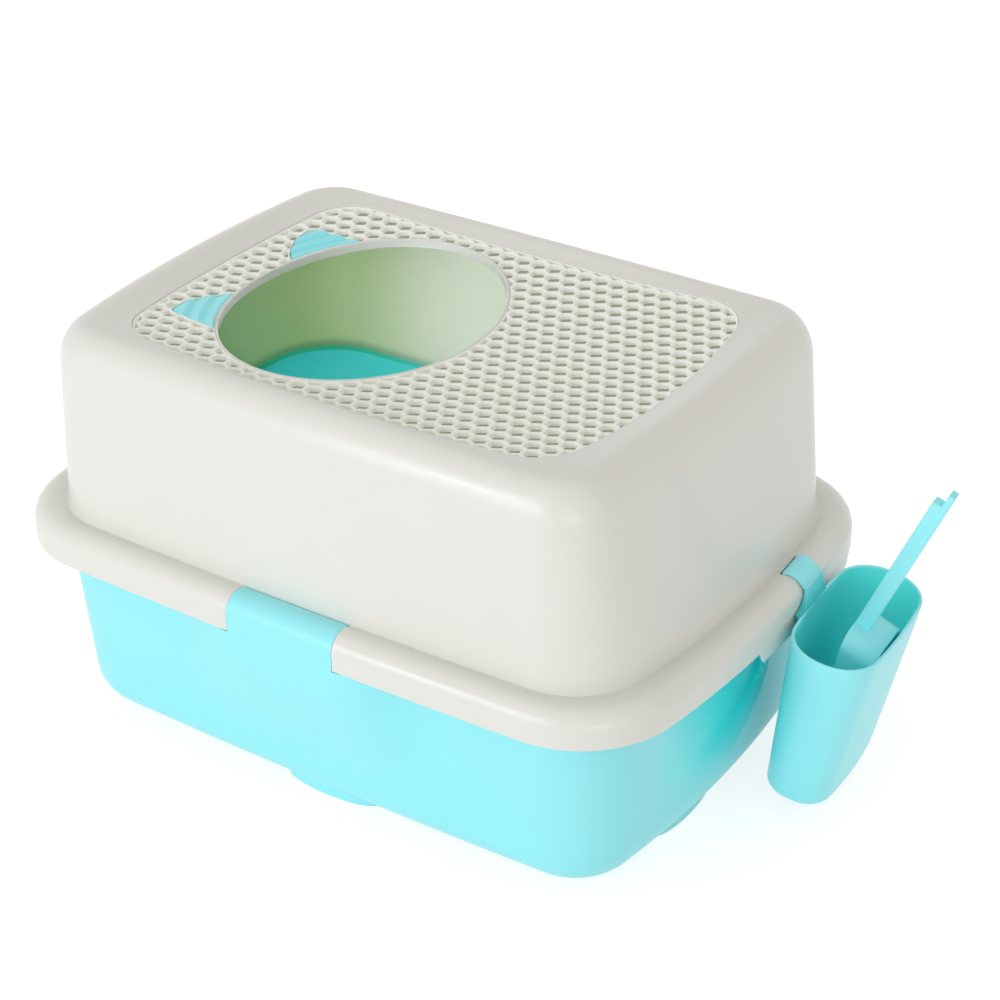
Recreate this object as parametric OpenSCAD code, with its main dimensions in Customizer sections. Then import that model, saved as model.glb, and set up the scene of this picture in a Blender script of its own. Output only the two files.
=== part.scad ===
// Top entry litter box: a tray, a tall lift-off hood with an oval entrance in its honeycomb top,
// two ribbed ear inserts, and a scoop in a holder that hooks into the hood's flange.
// Millimetres. The origin is the middle of the tray's underside: +X towards the scoop, +Y back, +Z up.

/* [Tray] */
// Distance from the flange's face in to the tray's wall under it, at the ends
rim_set_end = 25; // [24:0.5:28]
// Distance from the flange's face in to the tray's wall under it, at the sides
rim_set_side = 18; // [17:0.5:22]
// Corner radius of the tray's wall at the rim
tray_rim_corner = 58; // [50:1:62]
// Taper of each end wall from the rim to the floor
taper_end = 8; // [4:0.5:12]
// Taper of each side wall from the rim to the floor
taper_side = 13; // [8:0.5:16]
// Corner radius of the tray's wall at the floor
tray_base_corner = 48; // [44:1:56]
// Radius of the tray's bottom edge
tray_edge_r = 30; // [24:1:34]
// Wall thickness of the tray
tray_wall = 2.6; // [2:0.1:3.2]
// Length of a foot pad along the wall
foot_len = 78; // [50:1:90]
// Height of a foot pad
foot_tall = 9; // [6:0.5:10]
// How far a foot pad's face lies inside the wall's line
foot_inset = 10; // [8:0.5:12]
// Distance of the end feet in front of the middle
foot_end_shift = 26; // [10:1:40]
// Depth of the hand recess in the tray's right end
recess_deep = 5.5; // [3:0.5:7]
// Half length of the hand recess
recess_half = 48; // [44:1:50]
// Height of the recess's lower edge above the floor
recess_low = 64; // [56:1:72]

/* [Hood] */
// Length of the hood over its flange
hood_len = 534; // [528:1:540]
// Width of the hood over its flange
hood_wid = 370; // [366:1:376]
// Corner radius of the flange
flange_corner = 74; // [68:1:80]
// Height of the flange's lower edge above the floor
flange_low = 142; // [136:1:146]
// Height of the flange from its lower edge to its rounded top
flange_tall = 26; // [24:0.5:30]
// Radius of the flange's outer top edge
flange_round = 13; // [11:0.5:14]
// Distance from the flange's face in to the foot of the hood's wall, at the ends
ledge_end = 23.5; // [22:0.5:26]
// Distance from the flange's face in to the foot of the hood's wall, at the sides
ledge_side = 21.5; // [20.5:0.5:24]
// Corner radius of the hood's wall where it meets the flange
wall_corner = 58; // [52:1:62]
// How far each end wall of the hood leans in by the crest
lean_end = 17.5; // [12:0.5:20]
// How far each side wall of the hood leans in by the crest
lean_side = 2.5; // [1:0.5:5]
// Corner radius of the hood's wall, carried up to the crest
top_corner = 42; // [38:1:50]
// Height of the shoulder's crest above the floor
hood_top = 310; // [308:1:316]
// Height of the shoulder's curve
shoulder_rise = 27; // [22:1:32]
// Width of the shoulder's curve
shoulder_run = 20; // [16:1:24]
// Wall thickness of the hood
hood_wall = 2.4; // [2:0.1:2.8]
// How far the long sides bow outwards
long_bow = 3; // [1:0.5:5]
// How far the short sides bow outwards
short_bow = 7; // [4:0.5:8]
// Half width of the hand-grip notches in the flange
notch_half = 44; // [36:1:50]
// How much lower the flange reaches behind the scoop holder
skirt_deep = 9.5; // [4:0.5:10]
// Half length of the lower stretch of the flange
skirt_half = 69; // [66:1:72]

/* [Deck] */
// Depth of the honeycomb's upper face below the shoulder's crest
deck_set = 10; // [8:0.5:12]
// Distance from the hood's wall line at the crest in to the deck, at the ends
frame_end = 41; // [36:0.5:44]
// Distance from the hood's wall line at the crest in to the deck, at the sides
frame_side = 32; // [28:0.5:36]
// Corner radius of the deck
deck_corner = 36; // [30:1:44]
// Thickness of the honeycomb
deck_thick = 4; // [3:0.5:5]
// Rise from the honeycomb's face to the frame round it
frame_rise = 3.5; // [2:0.5:5]
// Distance between neighbouring honeycomb cells
cell_pitch = 13; // [12:0.5:16]
// Thickness of the wall between two cells
cell_wall = 2.6; // [2:0.1:3.4]
// Width of the plain border that cuts the outer cells off
deck_border = 1.5; // [1:0.5:4]
// Place of the cells' grid along the box
grid_along = 6.4; // [0:0.1:13]
// Place of the cells' grid across the box
grid_across = 6.75; // [0:0.05:11]

/* [Entrance] */
// Size of the entrance along the box
hole_len = 181; // [172:1:186]
// Distance from the deck's left end to the entrance
hole_end = 35; // [32:0.5:44]
// Distance from the deck's sides to the entrance
hole_side = 15.5; // [12:0.5:20]
// Width of the smooth collar round the entrance
collar_wid = 2; // [1.5:0.5:4]
// How far the collar stands above the honeycomb
collar_proud = 0.6; // [0.4:0.2:1.6]

/* [Ears] */
// Distance from the deck's left end to the middle of an ear's rounded tip
ear_tip_end = 24.5; // [20:0.5:28]
// Distance from the deck's side to the middle of an ear's rounded tip
ear_tip_side = 55; // [50:1:58]
// Radius of an ear's rounded tip
ear_tip_r = 7; // [5:0.5:9]
// Angle round the entrance, from its left end, where an ear starts
ear_start = 16.5; // [12:0.5:20]
// Angle round the entrance, from its left end, where an ear stops
ear_stop = 45.5; // [42:0.5:48]
// How far an ear's end side bows outwards
ear_bow = 5; // [2:0.5:6]
// Number of grooves across an ear
ear_grooves = 2; // [1:1:4]
// Width of a groove
groove_wid = 1.2; // [0.8:0.1:1.6]
// Depth of a groove
groove_deep = 1.2; // [0.8:0.1:1.6]

/* [Scoop holder] */
// Length of the holder's mouth, along the box's end
cup_len = 129; // [120:1:134]
// Depth of the holder's mouth, away from the box
cup_deep = 64.5; // [60:0.5:70]
// Height of the holder
cup_tall = 128; // [120:1:134]
// Corner radius of the holder's mouth
cup_corner = 29; // [24:1:30]
// Length of the holder's bottom
cup_base_len = 108; // [100:1:112]
// Depth of the holder's bottom
cup_base_deep = 49.5; // [46:0.5:54]
// Corner radius of the holder's bottom
cup_base_corner = 21; // [16:1:22]
// How far the bottom's back lies from the mouth's back
cup_base_shift = 5.5; // [3:0.5:7]
// How far the holder's walls bow outwards
cup_bow = 1.5; // [0.5:0.5:2]
// Wall thickness of the holder
cup_wall = 2.2; // [1.8:0.1:2.6]
// Angle by which the holder leans in under the flange
cup_lean = 9; // [6:0.5:10]
// Angle by which the holder follows the bowed end
cup_yaw = 4.5; // [3:0.5:6]
// Distance of the holder behind the middle of the box
cup_side = 55; // [45:1:60]
// Depth of the mouth's back edge below the flange's top
cup_drop = 20; // [18:0.5:22]
// Width of the hook's strap
strap_wid = 26; // [20:1:30]
// Thickness of the hook's strap
strap_thick = 2.6; // [2.2:0.1:3]
// Radius of the fillets between the strap and the holder's rim
strap_fillet = 13; // [8:1:16]
// Depth of the hook's tongue below the flange's top
tongue_deep = 11; // [8:1:12]
// Distance of the hook's slot from the flange's rounded edge
slot_set = 0.5; // [0.3:0.1:1.2]

/* [Scoop] */
// Width of the scoop's pan
pan_wid = 50; // [44:1:56]
// Depth of the scoop's pan at its back wall
pan_deep = 26; // [22:0.5:26]
// Depth of the pan's side walls at its lip
pan_lip_deep = 6; // [4:0.5:10]
// Wall thickness of the pan
pan_wall = 2.2; // [1.8:0.1:2.6]
// Width of the slots in the pan's floor
sieve_slot = 4.5; // [4.2:0.1:5]
// Number of slots in the pan's floor
sieve_count = 5; // [3:1:5]
// Length of the scoop's handle
handle_len = 115; // [110:1:130]
// Width of the scoop's handle
handle_wid = 9; // [8:0.5:14]
// Depth of the scoop's handle
handle_deep = 11; // [9:0.5:14]
// Length of the prong at the handle's end
prong_len = 11; // [8:1:16]
// Depth of the prong
prong_deep = 4.5; // [3:0.5:6]
// Angle by which the handle leans out of the holder
scoop_lean = 14.5; // [12:0.5:15]
// Angle by which the pan leans in the holder
pan_lean = 2.5; // [1:0.5:5]
// Distance of the scoop's back wall from the mouth's back
scoop_out = 32.5; // [31:0.5:33]
// Depth of the scoop's back wall below the mouth
scoop_sink = 2; // [0:0.5:3]

/* [Fits] */
// Gap between parts that lift apart
lift_gap = 0.3; // [0.2:0.05:0.5]
// Gap between an insert and its seat
seat_gap = 0.3; // [0.2:0.05:0.5]

/* [Hidden] */
cream = [0.9, 0.89, 0.86];
deck_cream = [0.86, 0.87, 0.82];
aqua = [0.55, 0.93, 0.97];

flange_top = flange_low + flange_tall;
deck_top = hood_top - deck_set;
cup_mouth = flange_top - cup_drop;
tray_rim_len = hood_len - 2 * rim_set_end;
tray_rim_wid = hood_wid - 2 * rim_set_side;
tray_base_len = tray_rim_len - 2 * taper_end;
tray_base_wid = tray_rim_wid - 2 * taper_side;
wall_len = hood_len - 2 * ledge_end;
wall_wid = hood_wid - 2 * ledge_side;
top_len = wall_len - 2 * lean_end;
top_wid = wall_wid - 2 * lean_side;
deck_len = top_len - 2 * frame_end;
deck_wid = top_wid - 2 * frame_side;
hole_wid = deck_wid - 2 * hole_side;
// The entrance's middle is this far left of the middle of the box
hole_shift = (deck_len - hole_len) / 2 - hole_end;
// The middle of the back ear's rounded tip
ear_tip = [ear_tip_end - deck_len / 2, deck_wid / 2 - ear_tip_side];

// An outline is [length, width, corner radius, bow of the long sides, bow of the short sides]
flange_line = [hood_len, hood_wid, flange_corner, long_bow, short_bow];
wall_line = [wall_len, wall_wid, wall_corner, long_bow, short_bow];
top_line = [top_len, top_wid, top_corner, long_bow / 2, short_bow];
deck_line = [deck_len, deck_wid, deck_corner, long_bow / 2, short_bow];
base_line = [tray_base_len, tray_base_wid, tray_base_corner, long_bow, short_bow];
rim_line = [tray_rim_len, tray_rim_wid, tray_rim_corner, long_bow, short_bow];
mouth_line = [cup_deep, cup_len, cup_corner, cup_bow / 30, cup_bow];
cup_base_line = [cup_base_deep, cup_base_len, cup_base_corner, cup_bow / 30, cup_bow];

// Points in a ring: each corner is an arc, and each side has points between its corners. The right side's
// lie close together where the flange steps down and at the recess's edges. They are shares of half the side.
corner_steps = 8;
long_points = 9;
skirt_at = (cup_side - skirt_half) / (hood_wid / 2 - flange_corner);
recess_at = recess_half / (tray_base_wid / 2 - tray_base_corner);
step_half = 0.015;
// Between the two points of the recess's back step, at every height
recess_back = 1.085 * recess_half;
short_at = [-0.75, -0.5, -recess_at / 2, skirt_at - step_half, skirt_at + step_half, recess_at / 3,
    recess_at * 0.7, recess_at - step_half, recess_at + step_half, 0.75];
ring_points = 4 * (corner_steps + 1) + 2 * (long_points + len(short_at));
// Index of the point in the middle of the right side
first_middle = (len(short_at) - 1) / 2;

// An ear's tip is an arc between these angles
ear_tip_from = 95;
ear_tip_to = 195;

deck_seat = deck_top - deck_thick;
frame_low = deck_top + frame_rise;
wall_foot = flange_top - 2.5;
cell_row = cell_pitch * sqrt(3) / 2;
// The flange's top dips a little towards the hood's wall, which rests over the tray's rim
flange_dip = 0.6;
lip_top = wall_foot - hood_wall - lift_gap;
slot_in = flange_round + slot_set;
lip_round = flange_round - hood_wall - lift_gap;
lip_line = grown(flange_line, -hood_wall - lift_gap);
// The tray's lip ends this far above the flange's lower edge
lip_set = 4;
lip_low = flange_low + lip_set;
// The flange's face draws in by this much at its lower edge
edge_set = 0.8;
// The flange's outer face where the hook hangs
cup_face = side_reach(flange_line, cup_side);

// The pan's lip stands on the holder's floor
pan_len = (cup_tall - cup_wall - lift_gap - scoop_sink) / cos(pan_lean);
pan_bend = scoop_lean - pan_lean;

function mix(a, b, t) = a * (1 - t) + b * t;

// The same outline, moved outwards by a distance
function grown(line, by) = [line[0] + 2 * by, line[1] + 2 * by, max(line[2] + by, 1), line[3], line[4]];

// Radius of a side that bows outwards over a half length
function bow_radius(half, bow) = (half * half + bow * bow) / (2 * bow);

// How far an outline reaches along X at a distance from the middle
function side_reach(line, y) =
    let (r = bow_radius(line[1] / 2 - line[2], line[4]))
    line[0] / 2 - r + sqrt(r * r - y * y);

// The middle of a corner's arc that runs smoothly into the bowed sides round [side, 0] and [0, long]
function corner_middle(side, side_r, long, long_r, r) =
    let (
        a = [side, 0],
        b = [0, long],
        apart = norm(b - a),
        along = (b - a) / apart,
        reach = (pow(side_r - r, 2) - pow(long_r - r, 2) + apart * apart) / (2 * apart)
    )
    a + reach * along + sqrt(pow(side_r - r, 2) - reach * reach) * [-along.y, along.x];

// The points of an outline, anticlockwise, from the lower end of the right side
function outline(line) =
    let (
        r = line[2],
        side_r = bow_radius(line[1] / 2 - r, line[4]),
        long_r = bow_radius(line[0] / 2 - r, line[3]),
        side = line[0] / 2 - side_r,
        long = line[1] / 2 - long_r,
        mid = corner_middle(side, side_r, long, long_r, r),
        side_turn = atan2(mid.y, mid.x - side),
        long_turn = atan2(mid.y - long, mid.x),
        right = [for (t = short_at)
            [side + side_r * cos(side_turn * t), side_r * sin(side_turn * t)]],
        corner = [for (i = [0:corner_steps])
            let (a = mix(side_turn, long_turn, i / corner_steps))
            mid + r * [cos(a), sin(a)]],
        back = [for (i = [1:long_points])
            let (a = 90 + (90 - long_turn) * (2 * i / (long_points + 1) - 1))
            [long_r * cos(a), long + long_r * sin(a)]],
        next_corner = [for (i = [corner_steps:-1:0]) [-corner[i].x, corner[i].y]]
    )
    concat(right, corner, back, next_corner, -right, -corner, -back, -next_corner);

// The entrance's oval, moved outwards by a distance, with a ring's number of points
function oval(by) =
    [for (i = [0:ring_points - 1])
        let (a = 360 * (i - first_middle) / ring_points)
        [(hole_len / 2 + by) * cos(a) - hole_shift, (hole_wid / 2 + by) * sin(a)]];

// A ring of points at a height
function level(points, z) = [for (p = points) [p.x, p.y, z]];
function ring(line, z) = level(outline(line), z);

// Side faces between the rings of a skin; closed joins the last ring to the first
function skin_faces(rings, count, closed) =
    [for (r = [0:rings - (closed ? 1 : 2)]) for (i = [0:count - 1])
        let (
            low = r * count,
            high = ((r + 1) % rings) * count,
            next = (i + 1) % count
        )
        each [
            [low + i, high + i, high + next],
            [low + i, high + next, low + next]
        ]];

// A solid between a first and a last ring, with flat ends
module capped_skin(rings) {
    count = len(rings[0]);
    last = (len(rings) - 1) * count;
    polyhedron(
        points = [for (r = rings) each r],
        faces = concat(
            [[for (i = [0:count - 1]) i]],
            skin_faces(len(rings), count, false),
            [[for (i = [count - 1:-1:0]) last + i]]
        )
    );
}

// A solid whose rings close on themselves, round an opening
module closed_skin(rings) {
    count = len(rings[0]);
    polyhedron(
        points = [for (r = rings) each r],
        faces = skin_faces(len(rings), count, true)
    );
}

// Rings over a quarter of an ellipse, from an outline's wall up and inwards
function shoulder(line, top, run, rise, steps) =
    [for (i = [0:steps])
        let (a = 90 * i / steps)
        ring(grown(line, -run * (1 - cos(a))), top - rise * (1 - sin(a)))];

// The hood's shoulder: the leaning wall goes on up as it curves inwards
function hood_shoulder(by, steps) =
    [for (i = [0:steps])
        let (
            a = 90 * i / steps,
            z = hood_top - by - (shoulder_rise - by) * (1 - sin(a)),
            wall = mix(wall_line, top_line, (z - wall_foot) / (hood_top - wall_foot))
        )
        ring(grown(wall, -by - (shoulder_run - by) * (1 - cos(a))), z)];

// The same rings from the last to the first
function reversed(rings) = [for (i = [len(rings) - 1:-1:0]) rings[i]];

// The flange's lower edge, which lies lower behind the scoop holder
function flange_edge(by) =
    [for (p = outline(grown(flange_line, by)))
        let (lower = p.x > 0 && abs(p.y - cup_side) < skirt_half)
        [p.x, p.y, flange_low - (lower ? skirt_deep : 0)]];

module hood_shell() {
    frame_line = grown(deck_line, seat_gap);
    crest_line = grown(top_line, -shoulder_run);
    dip_line = mix(grown(flange_line, -flange_round), wall_line, 0.6);
    closed_skin(concat(
        [flange_edge(-edge_set)],
        [ring(flange_line, flange_low + 2 * edge_set)],
        shoulder(flange_line, flange_top, flange_round, flange_round, 4),
        [ring(dip_line, flange_top - flange_dip)],
        [ring(wall_line, wall_foot)],
        hood_shoulder(0, 6),
        [ring(mix(crest_line, frame_line, 0.5), mix(hood_top, frame_low, 0.6))],
        [ring(frame_line, frame_low)],
        [ring(frame_line, deck_seat)],
        [level(oval(collar_wid), deck_seat)],
        [level(oval(collar_wid), deck_top + collar_proud / 2)],
        [level(oval(collar_wid / 2), deck_top + collar_proud)],
        [level(oval(0), deck_top + collar_proud / 2)],
        [level(oval(0), deck_seat - hood_wall)],
        [ring(grown(frame_line, hood_wall), deck_seat - hood_wall)],
        [ring(grown(frame_line, hood_wall), frame_low - hood_wall)],
        reversed(hood_shoulder(hood_wall, 6)),
        [ring(grown(wall_line, -hood_wall), wall_foot - hood_wall)],
        [ring(grown(dip_line, -1), flange_top - flange_dip - hood_wall)],
        reversed(shoulder(grown(flange_line, -hood_wall), flange_top - hood_wall,
            flange_round - hood_wall, flange_round - hood_wall, 4)),
        [flange_edge(-hood_wall)]
    ));
}

// The hand-grip notch in the front of the flange
module flange_notch() {
    translate([-notch_half, -hood_wid / 2 - 1, flange_low - 1])
        cube([2 * notch_half, (hood_wid - wall_wid) / 2 + 1 - lift_gap, flange_top + 2 - flange_low]);
}

// The frame of the holder: the back of its mouth, turned to the bowed end of the flange
module at_holder() {
    translate([cup_face + lift_gap + strap_thick, cup_side, cup_mouth])
        rotate([0, 0, cup_yaw])
            children();
}

module hook_slot() {
    at_holder()
        translate([-slot_in - 2 * strap_thick - 2 * lift_gap, -strap_wid / 2 - lift_gap, 0])
            cube([strap_thick + 2 * lift_gap, strap_wid + 2 * lift_gap, 2 * flange_top]);
}

module hood() {
    color(cream)
        difference() {
            hood_shell();
            for (side = [0, 180])
                rotate(side)
                    flange_notch();
            hook_slot();
        }
}

// The tray's wall at a height, and the same line moved inwards
function tray_line(z, by = 0) = grown(mix(base_line, rim_line, z / flange_low), -by);

// The tray's wall as a ring, drawn in by a share of the recess's depth: steeply at its back edge,
// where the hand pulls, and softly at its front edge
function recess_ring(z, by, share) =
    let (half = tray_base_wid / 2 - tray_base_corner)
    [for (p = outline(tray_line(z, by)))
        let (t = min(max((p.y / recess_half + 1.1) / 0.6, 0), 1),
            inside = p.x > 0 && p.y < recess_back)
        [p.x - (inside ? share * recess_deep * t * t * (3 - 2 * t) : 0), p.y, z]];

module tray_shell() {
    lip_turn = lip_top - tray_wall;
    lip_in = grown(lip_line, -lip_round);
    floor_z = tray_wall;
    inner_edge = tray_edge_r - tray_wall;
    recess_rise = 8;
    capped_skin(concat(
        [for (i = [0:5])
            let (a = 18 * i, z = tray_edge_r * (1 - cos(a)))
            ring(tray_line(z, tray_edge_r * (1 - sin(a))), z)],
        [recess_ring(recess_low, 0, 0)],
        [recess_ring(recess_low + recess_rise, 0, 1)],
        [recess_ring(lip_turn, 0, 1)],
        reversed(shoulder(grown(lip_line, -tray_wall), lip_turn, lip_round - tray_wall, lip_round - tray_wall, 3)),
        [ring(grown(lip_line, -tray_wall), lip_low)],
        [ring(lip_line, lip_low)],
        shoulder(lip_line, lip_top, lip_round, lip_round, 3),
        [recess_ring(lip_top, tray_wall, 1)],
        [recess_ring(recess_low + recess_rise, tray_wall, 1)],
        [recess_ring(recess_low, tray_wall, 0)],
        [for (i = [5:-1:0])
            let (a = 18 * i, z = floor_z + inner_edge * (1 - cos(a)))
            ring(tray_line(z, tray_wall + inner_edge * (1 - sin(a))), z)]
    ));
}

// The tray's outward-rolled tab, as a section across the box's front: it fills the notch flush with the flange
module grip_tab_section() {
    face = hood_wid / 2;
    back = wall_wid / 2 + 2 * lift_gap;
    blend_low = 92;
    wall_at = tray_line(blend_low)[1] / 2 - tray_wall / 2;
    round_mid = [face - flange_round, flange_top - flange_round];
    inner_round = flange_round - tray_wall;
    steps = 8;
    polygon(concat(
        [[back, wall_foot]],
        [for (i = [0:steps])
            let (a = 90 - 90 * i / steps)
            round_mid + flange_round * [cos(a), sin(a)]],
        [for (i = [0:steps])
            let (t = i / steps)
            [mix(face, wall_at, t * t * (3 - 2 * t)), mix(flange_low, blend_low, t)]],
        [for (i = [steps:-1:0])
            let (t = i / steps)
            [mix(face, wall_at, t * t * (3 - 2 * t)) - tray_wall * (1 - t / 2),
             mix(flange_low, blend_low, t) + tray_wall * t]],
        [for (i = [steps:-1:0])
            let (a = 90 - 90 * i / steps)
            round_mid + inner_round * [cos(a), sin(a)]],
        [[back, wall_foot - tray_wall]]
    ));
}

module grip_tab() {
    half = notch_half - seat_gap;
    translate([half, 0, 0])
        rotate([90, 0, -90])
            linear_extrude(2 * half)
                grip_tab_section();
}

// A low pad under the rounded bottom edge: its face is nearly straight and its ends are round
module foot(wall_half) {
    reach = wall_half - foot_inset;
    turn = wall_half - tray_edge_r;
    back = turn - 4;
    ends = 12;
    difference() {
        linear_extrude(foot_tall)
            polygon(concat(
                [[-foot_len / 2, back]],
                [for (i = [0:ends])
                    let (a = 180 - 180 * i / ends, s = pow(abs(sin(a)), 0.6))
                    [foot_len / 2 * cos(a), mix(turn, reach, s)]],
                [[foot_len / 2, back]]
            ));
        translate([-foot_len, turn, tray_edge_r])
            rotate([0, 90, 0])
                cylinder(r = tray_edge_r - tray_wall * 0.8, h = 2 * foot_len, $fn = 90);
        translate([-foot_len, 0, tray_wall / 2])
            cube([2 * foot_len, turn, foot_tall]);
    }
}

module tray() {
    color(aqua)
        difference() {
            union() {
                tray_shell();
                for (side = [0, 180])
                    rotate(side) {
                        grip_tab();
                        rotate(180)
                            foot(tray_base_wid / 2);
                    }
                for (side = [-90, 90])
                    rotate(side)
                        translate([sign(side) * foot_end_shift, 0, 0])
                            foot(tray_base_len / 2);
            }
            tongue_clearance();
        }
}

// Room in the tray's lip for the hook's tongue
module tongue_clearance() {
    depth = tongue_deep + 2;
    at_holder()
        translate([-slot_in - 3 * strap_thick, -strap_wid / 2 - 2, flange_top - depth - cup_mouth])
            cube([3 * strap_thick, strap_wid + 4, depth + 1]);
}

// Whether enough of a cell lies inside the deck's border
function inside_deck(p) =
    let (
        margin = deck_border - cell_pitch / 5,
        half_x = deck_len / 2 - short_bow * pow(2 * p.y / deck_wid, 2) - margin,
        half_y = deck_wid / 2 - margin,
        dx = abs(p.x) - (half_x - deck_corner + margin),
        dy = abs(p.y) - (half_y - deck_corner + margin),
        in_corner = dx <= 0 || dy <= 0 || norm([dx, dy]) < deck_corner - margin
    )
    abs(p.x) < half_x && abs(p.y) < half_y && in_corner;

function clear_of_oval(p, by) =
    let (u = (p.x + hole_shift) / (hole_len / 2 + by), v = p.y / (hole_wid / 2 + by))
    u * u + v * v > 1;

// The cells' area: inside the border, and clear of the entrance's collar and the ears
module cell_area() {
    clear = seat_gap + deck_border;
    difference() {
        polygon(outline(grown(deck_line, -deck_border)));
        polygon(oval(collar_wid + clear));
        for (side = [-1, 1])
            ear_outline(side, clear);
    }
}

// Hexagonal cells on a grid of rows. Each odd row is shifted by half a pitch.
module cells() {
    rows = ceil(deck_wid / cell_row / 2);
    columns = ceil(deck_len / cell_pitch / 2);
    collar_clear = collar_wid + deck_border - cell_pitch / 5;
    for (row = [-rows:rows])
        for (column = [-columns:columns]) {
            shift = row % 2 == 0 ? 0 : 0.5;
            p = [(column + shift) * cell_pitch + grid_along, row * cell_row + grid_across];
            if (inside_deck(p) && clear_of_oval(p, collar_clear))
                translate(p)
                    rotate(30)
                        circle(d = (cell_pitch - cell_wall) * 2 / sqrt(3), $fn = 6);
        }
}

// The honeycomb runs up to the frame, the collar and the ears, which cut its outer cells off
module honeycomb_deck() {
    color(deck_cream)
        translate([0, 0, deck_seat])
            linear_extrude(deck_thick)
                difference() {
                    polygon(outline(deck_line));
                    polygon(oval(collar_wid + seat_gap));
                    for (side = [-1, 1])
                        ear_outline(side, seat_gap);
                    intersection() {
                        cells();
                        cell_area();
                    }
                }
}

// A point beside the collar, at an angle from the entrance's left end
function ear_rim(angle, gap) =
    [-(hole_len / 2 + gap) * cos(angle) - hole_shift, (hole_wid / 2 + gap) * sin(angle)];

// An ear: its inner side follows the collar, its tip is round and its end side bows outwards
module ear_outline(side, by) {
    steps = 10;
    gap = collar_wid + seat_gap - by;
    spread = 1.5 * by;
    rim = [for (i = [0:steps])
        ear_rim(mix(ear_start - spread, ear_stop + spread, i / steps), gap)];
    round_tip = [for (i = [0:steps])
        let (a = mix(ear_tip_from, ear_tip_to, i / steps))
        ear_tip + (ear_tip_r + by) * [cos(a), sin(a)]];
    run = rim[0] - round_tip[steps];
    out = [run.y, -run.x] / norm(run);
    end_side = [for (i = [1:steps - 1])
        let (t = i / steps)
        round_tip[steps] + t * run + 4 * t * (1 - t) * ear_bow * out];
    points = concat(rim, round_tip, end_side);
    polygon([for (p = points) [p.x, side * p.y]]);
}

// The grooves follow the collar, evenly spaced between it and the tip
module ear(side) {
    tip_out = norm([(ear_tip.x + hole_shift) / hole_len, ear_tip.y / hole_wid]) - 0.5;
    deep = tip_out * (hole_len + hole_wid) / 2 + ear_tip_r;
    color(aqua)
        difference() {
            translate([0, 0, deck_seat])
                linear_extrude(deck_thick)
                    ear_outline(side, 0);
            for (i = [1:ear_grooves])
                translate([0, 0, deck_top - groove_deep])
                    linear_extrude(2 * groove_deep)
                        groove(deep * i / (ear_grooves + 1));
        }
}

// A groove at a distance from the entrance
module groove(out) {
    difference() {
        polygon(oval(out + groove_wid / 2));
        polygon(oval(out - groove_wid / 2));
    }
}

module ear_front() {
    ear(-1);
}

module ear_back() {
    ear(1);
}

// A ring of the holder, between its mouth and its bottom, from a depth below the mouth
function cup_ring(down, by) =
    let (
        t = down / cup_tall,
        line = grown(mix(mouth_line, cup_base_line, t), -by),
        back = cup_base_shift * t + by
    )
    [for (p = outline(line)) [p.x + line[0] / 2 + back, p.y, -down]];

module cup_shell() {
    edge = 5;
    capped_skin(concat(
        [for (i = [0:3])
            let (a = 30 * i)
            cup_ring(cup_tall - edge * (1 - cos(a)), edge * (1 - sin(a)))],
        [cup_ring(0, 0)],
        [cup_ring(0, cup_wall)],
        [for (i = [3:-1:0])
            let (a = 30 * i)
            cup_ring(cup_tall - cup_wall - (edge - cup_wall) * (1 - cos(a)), cup_wall + (edge - cup_wall) * (1 - sin(a)))]
    ));
}

// The hook as a section: up the flange's face, over its rounded edge and down through the slot
module hook_section() {
    steps = 8;
    rise = flange_top - cup_mouth + lift_gap;
    bend = flange_round + lift_gap;
    mid = [-strap_thick - bend, rise - bend];
    tongue = -slot_in - strap_thick - lift_gap;
    root = -6;
    polygon(concat(
        [[0, root], [-strap_thick, root]],
        [for (i = [0:steps])
            let (a = 90 * i / steps)
            mid + bend * [cos(a), sin(a)]],
        [[tongue, rise], [tongue, rise - tongue_deep], [tongue - strap_thick, rise - tongue_deep],
         [tongue - strap_thick, rise + strap_thick]],
        [for (i = [steps:-1:0])
            let (a = 90 * i / steps)
            mid + (bend + strap_thick) * [cos(a), sin(a)]]
    ));
}

// The strap widens into the holder's rim with a fillet on each side
module strap_foot() {
    steps = 6;
    half = strap_wid / 2 + strap_fillet;
    edge = [for (i = [0:steps])
        let (a = 90 * i / steps)
        [half - strap_fillet * sin(a), strap_fillet * (1 - cos(a))]];
    translate([-strap_thick, 0, 0])
        rotate([90, 0, 90])
            linear_extrude(strap_thick)
                polygon(concat(
                    [[-half, -2], [half, -2]],
                    edge,
                    [for (i = [steps:-1:0]) [-edge[i].x, edge[i].y]]
                ));
}

module scoop_holder() {
    color(aqua)
        at_holder() {
            rotate([0, cup_lean, 0])
                cup_shell();
            strap_foot();
            translate([0, strap_wid / 2, 0])
                rotate([90, 0, 0])
                    linear_extrude(strap_wid)
                        hook_section();
        }
}

// The scoop's frame: +X is the pan's depth, and +Z runs up the handle from the pan's back wall
module at_scoop() {
    at_holder()
        rotate([0, cup_lean, 0])
            translate([scoop_out, 0, -scoop_sink])
                rotate([0, scoop_lean, 0])
                    children();
}

// A side profile of the scoop, made as wide as asked for
module across(width) {
    translate([0, width / 2, 0])
        rotate([90, 0, 0])
            linear_extrude(width)
                children();
}

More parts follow.
